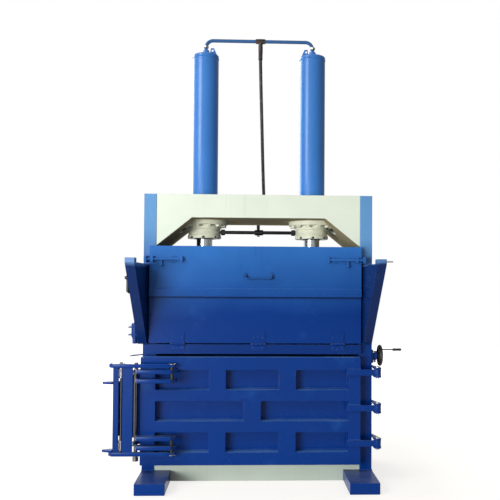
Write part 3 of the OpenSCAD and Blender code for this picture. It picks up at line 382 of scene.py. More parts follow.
def make_finishes(paint):
    """Every material of the machine, by its short name"""
    blue, deep, cream = tuple(paint.blue), tuple(paint.deep_blue), tuple(paint.cream)
    lit_colour, lit_cream = tuple(paint.blue_lit_high_up), tuple(paint.cream_lit_high_up)
    rough, dust = paint.gloss_roughness, paint.dust
    FINISHES.update({
        "blue_paint": enamel("blue_enamel", blue, lit_colour, rough, dust),
        # painted light on the door's upward faces, such as its pocket ledges
        "door_paint": enamel("door_enamel", blue, lit_colour, rough, dust, upward_light=0.85),
        # painted shade on undersides, painted light on upward faces, and a painted shadow line
        # just below 1.198 m, under the lip
        "feed_paint": enamel("feed_enamel", blue, lit_colour, rough, dust, under=linear(2, 20, 56),
                             upward_light=0.9, shadow_line_top=1.198),
        "deep_blue_paint": enamel("deep_blue_enamel", deep, shade(lit_colour, 0.7), rough + 0.02, dust),
        # painted shade: a warm darker cream on the undersides
        "cream_paint": enamel("cream_enamel", cream, lit_cream, rough + 0.05, dust * 0.6, wear=0.45,
                              under=linear(176, 160, 112)),
        # painted light: paler blue on the columns from 1.30 m up
        "column_paint": enamel("column_enamel", blue, linear(102, 155, 206), rough, dust,
                               lit_heights=(1.30, 1.62)),
        # painted shade: the cheeks darker than the frame; painted highlight: paler on their top
        # pads, from about 1.39 m up
        "shaded_cheek_paint": enamel("cheek_enamel", linear(10, 42, 100), linear(92, 134, 190), rough,
                              dust, lit_heights=(1.385, 1.405)),
        # painted light: the cream made brighter for the flanges, flange bolts and glands
        "lit_ring_paint": enamel("ring_enamel", linear(240, 242, 214), linear(246, 248, 224),
                             rough + 0.05, dust * 0.6, wear=0.45),
        "cylinder_paint": enamel("cylinder_enamel", blue, lit_colour, rough - 0.05, dust, wear=0.2,
                                 specular=0.45, peel_depth=0.04),
        "chrome_rod": chrome(),
        "bare_steel": steel("turned_steel", linear(176, 178, 180), 0.22),
        "zinc": steel("zinc_plate", linear(190, 190, 182), 0.24, rust=0.05),
        "black_steel": blackened("black_steel", linear(26, 27, 30), 0.34),
        "hose_rubber": hose_cover(),
        "dark_fitting": blackened("dark_brass", linear(44, 36, 34), 0.32),
        # painted shade: steel made darker for the link and keeper rods
        "shaded_steel": steel("handled_steel", linear(112, 112, 114), 0.30, rust=0.25),
        "black_plastic": plastic("moulded_black", linear(24, 22, 23)),
        # painted light on the upward faces of the blue welds
        "blue_weld": enamel("blue_weld", blue, lit_colour, rough + 0.06, dust, wear=0.1, upward_light=0.6),
        "cream_weld": enamel("cream_weld", cream, lit_cream, rough + 0.08, dust, wear=0.1),
        "pipe_paint": enamel("pipe_enamel", linear(48, 84, 132), linear(58, 98, 150),
                             rough + 0.06, dust * 0.5, wear=0.2),
        "seal": plastic("wiper_seal", linear(30, 30, 32)),
    })


# ---------------------------------------------------------------- mesh helpers

# A form is (points, faces) in metres, before it is made a mesh.

MERGE = 1e-6  # points of a form nearer than this are one


def box_middle(node):
    """The middle of a node's box in plan"""
    low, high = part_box(node)
    return (low[0] + high[0]) / 2, (low[1] + high[1]) / 2


def smoothed(mesh, angle=35):
    """The mesh shaded smooth, with its edges sharp above an angle in degrees"""
    mesh.shade_smooth()
    mesh.set_sharp_from_angle(angle=math.radians(angle))
    return mesh


def mesh_from(name, form, angle=35):
    """A form's mesh, its faces outward"""
    mesh = bpy.data.meshes.new(name)
    mesh.from_pydata([tuple(p) for p in form[0]], [], form[1])
    shell = bmesh.new()
    shell.from_mesh(mesh)
    bmesh.ops.remove_doubles(shell, verts=shell.verts, dist=MERGE)
    bmesh.ops.recalc_face_normals(shell, faces=shell.faces)
    shell.to_mesh(mesh)
    shell.free()
    return smoothed(mesh, angle)


def wear_object(name, mesh, body, finish=None):
    """Puts a finished mesh into the scene as a piece that rides on a body"""
    piece = bpy.data.objects.new(name, mesh)
    bpy.context.scene.collection.objects.link(piece)
    if finish is not None:
        mesh.materials.clear()
        mesh.materials.append(FINISHES[finish])
    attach(piece, body)
    return piece


def add_piece(name, form, body, finish, angle=35):
    """Makes a form a piece that rides on a body"""
    return wear_object(name, mesh_from(name, form, angle), body, finish)


def turned_faces(count, steps):
    """Faces between a closed profile of points and its next copy, all the way round"""
    return [(k * count + i, k * count + j, after * count + j, after * count + i)
            for k, after in ((k, (k + 1) % steps) for k in range(steps))
            for i, j in ((i, (i + 1) % count) for i in range(count))]


def revolved(profile, steps):
    """A closed profile of (radius, height) turned round Z"""
    turns = [2 * math.pi * k / steps for k in range(steps)]
    points = [(r * math.cos(turn), r * math.sin(turn), h) for turn in turns for r, h in profile]
    return points, turned_faces(len(profile), steps)


def placed(form, at, up=(0, 0, 1)):
    """A form turned from +Z to a direction, then moved to a place"""
    turn = Vector((0, 0, 1)).rotation_difference(Vector(up))
    return [turn @ Vector(p) + Vector(at) for p in form[0]], form[1]


def joined(forms):
    """Several forms as one"""
    points, faces = [], []
    for more_points, more_faces in forms:
        base = len(points)
        points += more_points
        faces += [tuple(i + base for i in face) for face in more_faces]
    return points, faces


def hex_nut(across, height, bore):
    """Chamfered hexagon nut or head round a bore"""
    corner, face = across / math.sqrt(3), across * 0.46
    chamfer = (corner - across / 2) * 0.6
    rings = [(bore, 0.0, False), (face, 0.0, False), (corner, chamfer, True),
             (corner, height - chamfer, True), (face, height, False), (bore, height, False)]
    points, steps = [], 24
    for k in range(steps):
        turn = 2 * math.pi * k / steps
        side = across / 2 / math.cos((turn + math.pi / 6) % (math.pi / 3) - math.pi / 6)
        for radius, level, is_hex in rings:
            reach = side if is_hex else min(radius, side)
            points.append((reach * math.cos(turn), reach * math.sin(turn), level))
    return points, turned_faces(len(rings), steps)


def washer(bore, outer, thickness):
    """A plain washer with small chamfers on its rim"""
    edge = thickness * 0.2
    return revolved([(bore, 0), (outer - edge, 0), (outer, edge), (outer, thickness - edge),
                     (outer - edge, thickness), (bore, thickness)], 28)


def tube(path, radius, sides):
    """A closed tube along a path: points, faces and each point's (round, along) place"""
    path = [Vector(p) for p in path]
    points, faces, places, along = [], [], [], 0.0
    across = None
    for i, spot in enumerate(path):
        ahead = (path[min(i + 1, len(path) - 1)] - path[max(i - 1, 0)]).normalized()
        if across is None:
            across = ahead.orthogonal().normalized()
        across = (across - ahead * across.dot(ahead)).normalized()
        other = ahead.cross(across)
        if i:
            along += (spot - path[i - 1]).length
        for k in range(sides):
            turn = 2 * math.pi * k / sides
            points.append(spot + (across * math.cos(turn) + other * math.sin(turn)) * radius)
            places.append((turn * radius, along))
    for i in range(len(path) - 1):
        for k in range(sides):
            a, b = i * sides + k, i * sides + (k + 1) % sides
            faces.append((a, b, b + sides, a + sides))
    faces.append(tuple(reversed(range(sides))))
    faces.append(tuple(range(len(points) - sides, len(points))))
    return points, faces, places


def raised(outline, low, high):
    """A plan outline raised from one height to another"""
    count = len(outline)
    points = [(x, y, z) for z in (low, high) for x, y in outline]
    faces = [tuple(range(count)), tuple(range(count, 2 * count))]
    faces += [(i, (i + 1) % count, (i + 1) % count + count, i + count) for i in range(count)]
    return points, faces


def bent_sheet(line, thickness):
    """Plan outline of a sheet bent along a line, on the line's left, or on its right where the
    thickness is negative"""
    left, right = [], []
    spots = [Vector(p) for p in line]
    for i, spot in enumerate(spots):
        before = (spot - spots[i - 1]).normalized() if i else None
        after = (spots[i + 1] - spot).normalized() if i + 1 < len(spots) else None
        ways = [Vector((-d.y, d.x)) for d in (before, after) if d is not None]
        side = sum(ways, Vector((0, 0))).normalized()
        reach = thickness / max(0.3, side.dot(ways[0]))
        left.append(tuple(spot))
        right.append(tuple(spot + side * reach))
    return left + right[::-1]


# ---------------------------------------------------------------- geometry nodes


class Growth:
    """A Geometry Nodes tree with named inputs, ended by Realize Instances and Set Material"""

    def __init__(self, name, inputs):
        self.tree = bpy.data.node_groups.new(name, "GeometryNodeTree")
        face = self.tree.interface
        face.new_socket("Geometry", in_out="INPUT", socket_type="NodeSocketGeometry")
        for label, kind in inputs:
            face.new_socket(label, in_out="INPUT", socket_type="NodeSocket" + kind)
        face.new_socket("Geometry", in_out="OUTPUT", socket_type="NodeSocketGeometry")
        self.start = self.tree.nodes.new("NodeGroupInput")

    def node(self, kind, settings=None, values=None):
        made = self.tree.nodes.new(kind)
        for key, value in (settings or {}).items():
            setattr(made, key, value)
        for key, value in (values or {}).items():
            if isinstance(value, bpy.types.NodeSocket):
                self.tree.links.new(value, made.inputs[key])
            else:
                made.inputs[key].default_value = value
        return made

    def close(self, instances):
        real = self.node("GeometryNodeRealizeInstances", {}, {0: instances})
        smooth = self.node("GeometryNodeSetShadeSmooth", {}, {0: real.outputs[0]})
        coated = self.node("GeometryNodeSetMaterial", {}, {
            "Geometry": smooth.outputs[0], "Material": self.start.outputs["Finish"]})
        out = self.tree.nodes.new("NodeGroupOutput")
        self.tree.links.new(coated.outputs[0], out.inputs[0])
        return self.tree

    def random(self, low, high, seed):
        """A random number for each instance"""
        return self.node("FunctionNodeRandomValue", {"data_type": "FLOAT"}, {
            2: low, 3: high, "Seed": seed}).outputs[1]


def weld_tree():
    """Overlapping ripples along each edge line, like a hand-laid fillet weld"""
    g = Growth("weld_ripples", [("Width", "Float"), ("Pitch", "Float"), ("Seed", "Int"),
                                ("Finish", "Material")])
    start = g.start.outputs
    line = g.node("GeometryNodeMeshToCurve", {}, {0: start["Geometry"]})
    marks = g.node("GeometryNodeResampleCurve", {"mode": "LENGTH"}, {
        "Curve": line.outputs[0], "Length": start["Pitch"]})
    ripple = g.node("GeometryNodeMeshUVSphere", {}, {"Radius": 0.5, "Segments": 8, "Rings": 5})
    tangent = g.node("GeometryNodeInputTangent")
    turn = g.node("FunctionNodeAlignRotationToVector", {"axis": "Z"},
                  {"Vector": tangent.outputs[0]})
    wide = g.node("ShaderNodeMath", {"operation": "MULTIPLY"}, {
        0: start["Width"], 1: g.random(0.86, 1.08, start["Seed"])})
    long = g.node("ShaderNodeMath", {"operation": "MULTIPLY"}, {0: start["Pitch"], 1: 2.0})
    size = g.node("ShaderNodeCombineXYZ", {}, {
        0: wide.outputs[0], 1: wide.outputs[0], 2: long.outputs[0]})
    laid = g.node("GeometryNodeInstanceOnPoints", {}, {
        "Points": marks.outputs[0], "Instance": ripple.outputs[0],
        "Rotation": turn.outputs[0], "Scale": size.outputs[0]})
    return g.close(laid.outputs[0])


def fastener_tree():
    """One head on every point, standing along the point's facing, turned at random"""
    g = Growth("fasteners", [("Head", "Object"), ("Seed", "Int"), ("Finish", "Material")])
    start = g.start.outputs
    head = g.node("GeometryNodeObjectInfo", {}, {"Object": start["Head"], "As Instance": True})
    facing = g.node("GeometryNodeInputNamedAttribute", {"data_type": "FLOAT_VECTOR"},
                    {"Name": "facing"})
    stand = g.node("FunctionNodeAlignRotationToVector", {"axis": "Z"},
                   {"Vector": facing.outputs[0]})
    full_turn = 6.283
    spin = g.node("ShaderNodeCombineXYZ", {}, {2: g.random(0.0, full_turn, start["Seed"])})
    spun = g.node("FunctionNodeRotateRotation", {"rotation_space": "LOCAL"}, {
        0: stand.outputs[0], 1: spin.outputs[0]})
    points = g.node("GeometryNodeMeshToPoints", {}, {"Mesh": start["Geometry"]})
    laid = g.node("GeometryNodeInstanceOnPoints", {}, {
        "Points": points.outputs[0], "Instance": head.outputs["Geometry"],
        "Rotation": spun.outputs[0]})
    return g.close(laid.outputs[0])


def grown(name, seeds, tree, inputs):
    """The plain mesh that a tree makes of a seed mesh"""
    carrier = bpy.data.objects.new(name + "_seed", seeds)
    bpy.context.scene.collection.objects.link(carrier)
    modifier = carrier.modifiers.new("grow", "NODES")
    modifier.node_group = tree
    for item in tree.interface.items_tree:
        if item.in_out == "INPUT" and item.name in inputs:
            modifier[item.identifier] = inputs[item.name]
    bpy.context.view_layer.update()
    result = bpy.data.meshes.new_from_object(
        carrier.evaluated_get(bpy.context.evaluated_depsgraph_get()))
    carrier.modifiers.remove(modifier)
    bpy.data.objects.remove(carrier)
    if not len(result.polygons):
        raise RuntimeError(f"{name} has no faces")
    result.name = name
    return result


def point_mesh(name, places):
    """A mesh of loose points that know which way they face"""
    mesh = bpy.data.meshes.new(name)
    mesh.from_pydata([place for place, _ in places], [], [])
    facing = mesh.attributes.new("facing", "FLOAT_VECTOR", "POINT")
    facing.data.foreach_set("vector", [part for _, way in places for part in way])
    return mesh


def line_mesh(name, lines):
    """A mesh of loose edges along open lines"""
    points, edges = [], []
    for line in lines:
        base = len(points)
        points += line
        edges += [(base + i, base + i + 1) for i in range(len(line) - 1)]
    mesh = bpy.data.meshes.new(name)
    mesh.from_pydata(points, edges, [])
    return mesh


# ---------------------------------------------------------------- painted plates


# Node: (edge rounding in millimetres, or None for the common one, and the finish)
PLATES = {
    "feed_door": (2.4, "feed_paint"), "bale_door": (3.6, "door_paint"),
    "crosshead": (2.6, "cream_paint"), "left_column": (4.0, "column_paint"),
    "right_column": (4.0, "column_paint"), "feet": (4.0, "blue_paint"),
    "base_skirt": (1.5, "cream_paint"), "front_sill": (None, "deep_blue_paint"),
    # the cheeks carry painted shade, with a painted highlight on their top pads
    "left_cheek": (1.8, "shaded_cheek_paint"), "right_cheek": (1.8, "shaded_cheek_paint"),
    "left_wall": (1.5, "blue_paint"), "right_wall": (1.5, "blue_paint"),
    "back_wall": (2.0, "blue_paint"), "lock_frame": (None, "blue_paint"),
    "lock_brackets": (2.0, "blue_paint"), "hinge_straps": (2.5, "blue_paint"),
    "door_hinge_lugs": (2.0, "blue_paint"), "keeper_lugs": (1.8, "blue_paint"),
    "lock_hooks": (1.5, "bare_steel"), "platen": (2.5, "deep_blue_paint"),
    "wheel_bracket": (1.5, "blue_paint"), "switch_bracket": (1.0, "blue_paint"),
    "switch_body": (2.0, "blue_paint"), "bolt_guides": (1.2, "blue_paint"),
    "bolt_keepers": (1.2, "blue_paint"), "bulkhead_bracket": (1.2, "cream_paint"),
    "left_slide_bolt": (1.0, "blue_paint"), "right_slide_bolt": (1.0, "blue_paint"),
    "door_hinge_leaves": (0.6, "blue_paint"), "sill_hinge_leaves": (0.6, "blue_paint"),
    "catch_lever": (0.8, "black_steel"), "chamber_floor": (1.0, "deep_blue_paint"),
}


FLAT = math.radians(0.6)       # edges between faces flatter than this are dissolved
CORNER = math.radians(32)      # edges sharper than this are rounded
VOLUME_CHANGE = 0.04           # share of the volume that rounding may change
BOX_GROWTH = 4e-4              # how far rounding may push the box outwards, in metres


def volume(mesh):
    shell = bmesh.new()
    shell.from_mesh(mesh)
    size = shell.calc_volume(signed=True)
    shell.free()
    return size


def box_of(mesh):
    points = np.empty(len(mesh.vertices) * 3)
    mesh.vertices.foreach_get("co", points)
    points = points.reshape(-1, 3)
    return np.array([points.min(0), points.max(0)])


def rounded_copy(node, name, radius):
    """A node's plates with their edges rounded, or None where that would spoil their shape"""
    source = frame["nodes"][node].data
    shell = bmesh.new()
    shell.from_mesh(source)
    bmesh.ops.remove_doubles(shell, verts=shell.verts, dist=2 * MERGE)
    bmesh.ops.dissolve_limit(shell, angle_limit=FLAT, verts=shell.verts, edges=shell.edges,
                             use_dissolve_boundaries=False)
    bmesh.ops.triangulate(shell, faces=shell.faces, quad_method="BEAUTY", ngon_method="BEAUTY")
    plain = bpy.data.meshes.new(name)
    shell.to_mesh(plain)
    shell.free()
    plain.shade_smooth()
    carrier = bpy.data.objects.new(name + "_blank", plain)
    bpy.context.scene.collection.objects.link(carrier)
    edge = carrier.modifiers.new("edge", "BEVEL")
    edge.width, edge.segments, edge.limit_method = radius, 2, "ANGLE"
    edge.angle_limit, edge.use_clamp_overlap = CORNER, True
    edge.miter_outer = "MITER_ARC"
    even = carrier.modifiers.new("even", "WEIGHTED_NORMAL")
    even.weight, even.keep_sharp = 90, True
    bpy.context.view_layer.update()
    made = bpy.data.meshes.new_from_object(
        carrier.evaluated_get(bpy.context.evaluated_depsgraph_get()))
    carrier.modifiers.clear()
    bpy.data.objects.remove(carrier)
    made.name = name
    before, after = volume(source), volume(made)
    (low, high), (new_low, new_high) = box_of(source), box_of(made)
    out = max((low - new_low).max(), (new_high - high).max())
    good = abs(after - before) < VOLUME_CHANGE * abs(before) and out < BOX_GROWTH
    print(f"{name}: volume {after / before:.4f}, box within {out * 1000:.2f} mm, "
          f"{len(made.polygons)} faces{'' if good else ', left as it was'}")
    return made if good else None


def paint_node(node, finish):
    """Gives a carried-over node its finish"""
    mesh = frame["nodes"][node].data
    if not mesh.materials:
        mesh.materials.append(FINISHES[finish])
    for place in range(len(mesh.materials)):
        mesh.materials[place] = FINISHES[finish]


# Carried-over nodes whose surface differs from the rest of their material slot: the link and
# keeper rods carry painted shade, the flanges, flange bolts and glands painted light
OWN_FINISH = {"link_rod": "shaded_steel", "keeper_rod": "shaded_steel",
              "bridge_pipe": "pipe_paint", "left_barrel": "cylinder_paint",
              "right_barrel": "cylinder_paint", "left_cap": "cylinder_paint",
              "right_cap": "cylinder_paint", "left_flange": "lit_ring_paint",
              "right_flange": "lit_ring_paint", "flange_bolts": "lit_ring_paint",
              "left_gland": "lit_ring_paint", "right_gland": "lit_ring_paint"}


class BALER_OT_finishes(bpy.types.Operator):
    """Makes every finish of the machine and coats the carried-over nodes"""
    bl_idname = "baler.finishes"
    bl_label = "Make the finishes"

    def execute(self, context):
        make_finishes(context.scene.baler_paint)
        for node in frame["nodes"]:
            paint_node(node, OWN_FINISH.get(node, SLOTS[node]))
        return {"FINISHED"}


class BALER_OT_plates(bpy.types.Operator):
    """Rounds the edges of the welded plates, doors and brackets"""
    bl_idname = "baler.plates"
    bl_label = "Round the plate edges"

    def execute(self, context):
        common = context.scene.baler_paint.edge_radius
        for node, (radius, finish) in PLATES.items():
            made = rounded_copy(node, node + "_plates", radius / 1000 if radius else common)
            if made is None:
                paint_node(node, finish)
                continue
            piece = wear_object(node + "_plates", made, NODE_BODY[node], finish)
            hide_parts(node)
        return {"FINISHED"}


# ---------------------------------------------------------------- welds


# Where the middle of a bead lies on faces of the source that no box gives, in metres
COLUMN_BEAD = 0.3015                # front and rear faces of the columns
SIDE_BEAD = 0.7505                  # outer sides of the columns
CHEEK_BEAD = -0.3005                # where the cheeks meet the columns
DOOR_BEAD = -0.3803                 # front of the bale door
POCKET_BEAD = -0.3165               # floor of the bale door's pockets
FEED_BEAD = -0.3512                 # front of the feed door

LEDGE_OUT = 0.072                   # from the corner ledge's end to the left column's bead
CHEEK_SEAM = (0.900, 1.405)         # lower and upper end of the cheeks' beads
LUG_T = 0.018                       # thickness of the keeper lugs
HINGE_LUG_FACES = (0.231, 0.251, 0.480, 0.500, 0.729, 0.749)
HINGE_LUG_Y = (-0.296, -0.214)      # front and rear end of the beads on the door hinge lugs
BRACKET_X = (-0.748, -0.665)        # left and right end of the beads on the lock brackets
STRAP_END = 0.660                   # right end of the beads along the hinge straps
STRAP_HEIGHTS, STRAP_HALF = (0.263, 0.488, 0.717), 0.019
BRACKET_H = 0.072                   # over the two plates of a lock bracket
POCKET_ROWS = ((0.205, 3), (0.404, 2), (0.603, 3))  # lower edge, and count of pockets
POCKETS_LEFT, POCKETS_RIGHT, POCKET_RIB = -0.655, 0.585, 0.110
GUIDE_FEET = ((-0.692, -0.668), (-0.56, -0.536), (0.492, 0.516), (0.624, 0.648))
GUIDE_EDGES = (1.423, 1.457)
HANDLE_X, HANDLE_Z, HANDLE_FOOT_R = 0.085, 1.3337, 0.0135  # feet of the pull handle


def ring_line(centre, radius, axis="z", steps=48):
    """A closed ring as a line"""
    points = []
    for k in range(steps + 1):
        turn = 2 * math.pi * k / steps
        a, b = radius * math.cos(turn), radius * math.sin(turn)
        points.append((centre[0] + a, centre[1] + b, centre[2]) if axis == "z" else
                      (centre[0] + a, centre[1], centre[2] + b))
    return points


def frame_seams():
    """Columns on the feet, skirt ends, cheeks, keeper lugs, door hinge lugs, cylinder caps"""
    left, right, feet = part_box("left_column"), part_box("right_column"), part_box("feet")
    skirt, lugs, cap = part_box("base_skirt"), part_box("keeper_lugs"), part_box("left_cap")
    lines = []
    for start, end, inner in ((left[0][0] + LEDGE_OUT, left[1][0], left[1][0]),
                              (right[0][0], right[1][0], right[0][0])):
        lines += [[(x, y, feet[1][2] + 0.001) for x in (start, end)]
                  for y in (-COLUMN_BEAD, COLUMN_BEAD)]
        lines.append([(inner, skirt[0][1] + 0.004, z)
                      for z in (skirt[0][2] + 0.006, skirt[1][2])])
    for x in (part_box("left_cheek")[1][0] - 0.003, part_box("right_cheek")[0][0] + 0.003):
        lines.append([(x, CHEEK_BEAD, z) for z in CHEEK_SEAM])
    for z in (lugs[0][2], lugs[0][2] + LUG_T, lugs[1][2] - LUG_T, lugs[1][2]):
        lines.append([(-SIDE_BEAD, y, z) for y in (lugs[0][1] + 0.045, lugs[1][1] - 0.004)])
    for z in HINGE_LUG_FACES:
        lines.append([(SIDE_BEAD, y, z) for y in HINGE_LUG_Y])
    return lines + cylinder_rings(cap[0][2] + 0.0195, 0.0886)


def cylinder_rings(level, radius):
    """A ring round each cylinder at one height"""
    middle = box_middle("left_cap")[0]
    return [ring_line((side * middle, 0, level), radius) for side in (1, -1)]


def crosshead_seams():
    """The crosshead's ends on the columns, and the barrels on their flanges"""
    low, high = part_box("crosshead")
    ends = [[(x, y, z) for z in (low[2], high[2])] for x in (low[0] - 0.0005, high[0] + 0.0005)
            for y in (low[1] + 0.006, high[1] - 0.006)]
    return ends + cylinder_rings(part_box("left_flange")[1][2] + 0.0005, 0.0915)


def bale_door_seams():
    """Hinge straps, lock brackets and the lower edges of the pockets"""
    straps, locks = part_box("hinge_straps"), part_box("lock_brackets")
    lines = [[(x, DOOR_BEAD, z + dz) for x in (straps[0][0] + 0.012, STRAP_END)]
             for z in STRAP_HEIGHTS for dz in (-STRAP_HALF, STRAP_HALF)]
    lines += [[(x, DOOR_BEAD, z) for x in BRACKET_X] for z in (
        locks[0][2], locks[0][2] + BRACKET_H, locks[1][2], locks[1][2] - BRACKET_H)]
    for level, count in POCKET_ROWS:
        wide = (POCKETS_RIGHT - POCKETS_LEFT - (count - 1) * POCKET_RIB) / count
        for x in (POCKETS_LEFT + k * (wide + POCKET_RIB) for k in range(count)):
            lines.append([(end, POCKET_BEAD, level + 0.0025)
                          for end in (x + 0.003, x + wide - 0.003)])
    return lines


def feed_door_seams():
    """The feet of the pull handle and of the bolt guides"""
    rings = [ring_line((x, FEED_BEAD, HANDLE_Z), HANDLE_FOOT_R, "y", 28)
             for x in (-HANDLE_X, HANDLE_X)]
    return rings + [[(x, FEED_BEAD, z) for x in foot] for foot in GUIDE_FEET
                    for z in GUIDE_EDGES]


class BALER_OT_welds(bpy.types.Operator):
    """Lays fillet welds where plates meet"""
    bl_idname = "baler.welds"
    bl_label = "Lay the welds"

    def execute(self, context):
        fittings = context.scene.baler_fittings
        tree = weld_tree()
        for name, body, finish, lines in (
                ("frame_welds", "frame", "blue_weld", frame_seams()),
                ("crosshead_welds", "frame", "cream_weld", crosshead_seams()),
                ("bale_door_welds", "bale_door", "blue_weld", bale_door_seams()),
                ("feed_door_welds", "feed_door", "blue_weld", feed_door_seams())):
            wear_object(name, grown(name, line_mesh(name + "_lines", lines), tree, {
                "Width": fittings.bead_w, "Pitch": fittings.bead_pitch,
                "Seed": fittings.seed, "Finish": FINISHES[finish]}), body)
        return {"FINISHED"}


# ---------------------------------------------------------------- screws, bolts and washers


# The feed door's hinges: middles along X, front of the leaves, and heights of the screws
HINGES, HINGE_FACE = (-0.520, 0.0, 0.517), -0.3442
DOOR_SCREWS_Z, SILL_SCREWS_Z, SCREW_STEP = 0.944, 0.864, 0.030


def slotted_head(diameter):
    """Countersunk screw head, a little proud of its plate, with a slot across it"""
    r, slot, arc = diameter / 2, diameter * 0.07, 10
    rim, crown = r * 0.97, r * 0.80
    forms = [revolved([(0, -0.0010), (r, -0.0010), (r, 0.0003), (0, 0.0003)], 20)]
    first = math.asin(slot / rim)
    turns = [first + (math.pi - 2 * first) * k / (arc - 1) for k in range(arc)]
    for side in (-1, 1):
        points = [(reach * math.cos(t), side * max(slot, reach * math.sin(t)), level)
                  for reach, level in ((rim, 0.0), (rim, 0.0007), (crown, 0.0012))
                  for t in turns]
        faces = [tuple(range(arc)), tuple(range(2 * arc, 3 * arc))]
        faces += [(ring + k, ring + (k + 1) % arc, ring + (k + 1) % arc + arc, ring + k + arc)
                  for ring in (0, arc) for k in range(arc)]
        forms.append((points, faces))
    return joined(forms)


def bracket_nut():
    """Washer, nut and stud end of the small brackets"""
    bore = 0.0045
    stud = [(0, 0), (bore, 0), (bore, 0.0095), (bore - 0.0007, 0.0105), (0, 0.0105)]
    return joined([washer(bore, 0.010, 0.0015),
                   placed(hex_nut(0.015, 0.007, bore - 0.0003), (0, 0, 0.0015)),
                   placed(revolved(stud, 20), (0, 0, 0.0005))])


def head_object(name, form):
    """An object outside the scene that Geometry Nodes put on every point"""
    return bpy.data.objects.new(name, mesh_from(name, form))


def hinge_screws(level, slope):
    """Places of three screws in each leaf, the outer two higher or lower by the slope"""
    return [((x + step, HINGE_FACE, level + abs(step) * slope), (0, -1, 0))
            for x in HINGES for step in (-SCREW_STEP, 0.0, SCREW_STEP)]


def bracket_nuts():
    """Places of the nuts on the handwheel's bracket and the rear couplings' bracket"""
    (left, front, low), (_, _, high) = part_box("wheel_bracket")
    (rear_left, rear_front, _), (rear_right, _, rear_high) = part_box("bulkhead_bracket")
    nuts = [((left + 0.0098, front + 0.012, z), (1, 0, 0)) for z in (low + 0.014, high - 0.014)]
    return nuts + [((x, rear_front + 0.0078, rear_high - 0.012), (0, 1, 0))
                   for x in (rear_left + 0.012, rear_right - 0.012)]


class BALER_OT_fasteners(bpy.types.Operator):
    """Screws, bolts, washers and split pins"""
    bl_idname = "baler.fasteners"
    bl_label = "Fit screws and bolts"

    def execute(self, context):
        fittings = context.scene.baler_fittings
        tree = fastener_tree()
        screw = head_object("hinge_screw_head", slotted_head(fittings.screw_d))
        nut = head_object("bracket_nut", bracket_nut())
        for name, body, finish, head, places in (
                ("feed_door_screws", "feed_door", "blue_paint", screw,
                 hinge_screws(DOOR_SCREWS_Z, -0.3)),
                ("sill_screws", "frame", "blue_paint", screw,
                 hinge_screws(SILL_SCREWS_Z, 0.2)),
                ("bracket_bolts", "frame", "zinc", nut, bracket_nuts())):
            wear_object(name, grown(name, point_mesh(name + "_places", places), tree, {
                "Head": head, "Seed": fittings.seed, "Finish": FINISHES[finish]}), body)
        thickness = fittings.washer_t * 0.8
        self.rod_ends("link_rod_ends", "lock_link", "link_rod", 0.0165, thickness)
        self.rod_ends("lock_pin_ends", "bale_door", "lock_pins", 0.0185, thickness)
        return {"FINISHED"}

    def rod_ends(self, name, body, rod, outer, thickness):
        """Washers and split pins where a rod passes the outer plates of the lock frame"""
        lock, (low, high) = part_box("lock_frame"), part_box(rod)
        x, y = box_middle(rod)
        flat = washer((high[0] - low[0]) / 2 - 0.0002, outer, thickness)
        wire, bend = 0.0012, 0.0034
        forms = []
        for z, way in ((lock[0][2] - 0.0003, -1), (lock[1][2] + 0.0003, 1)):
            forms.append(placed(flat, (x, y, z), (0, 0, way)))
            level = z + way * (thickness + 0.0017)
            legs = [(x - outer - 0.001, y + wire / 2, level), (x + outer, y + wire / 2, level)]
            eye = [(x + outer + 0.0030 - bend * math.cos(t), y + bend * math.sin(t), level)
                   for t in np.linspace(0.3, 2 * math.pi - 0.3, 14)]
            forms += [tube(path, wire, 8)[:2] for path in (legs, eye)]
        add_piece(name, joined(forms), body, "zinc")


# ---------------------------------------------------------------- sheet parts and bars


PLATE_T, PIN_R = 0.014, 0.011      # the lock's plates and the pins it turns on
BAR_T, BAR_PROUD = 0.006, 0.005    # bars along their edges, and how far those stand proud
HEM_R, HEM_Z = 0.0046, 1.2490      # rolled hem of the feed door
FOLD = ((0.0, 0.0), (0.0012, 0.0034), (0.0040, 0.0050))  # a folded corner, from its start


def softened(mesh, radius):
    """The mesh with its sharp edges rounded"""
    shell = bmesh.new()
    shell.from_mesh(mesh)
    bmesh.ops.bevel(shell, geom=[e for e in shell.edges if e.calc_face_angle(0) > 0.5],
                    offset=radius, segments=2, profile=0.5, affect="EDGES", clamp_overlap=True)
    shell.to_mesh(mesh)
    shell.free()
    return smoothed(mesh)


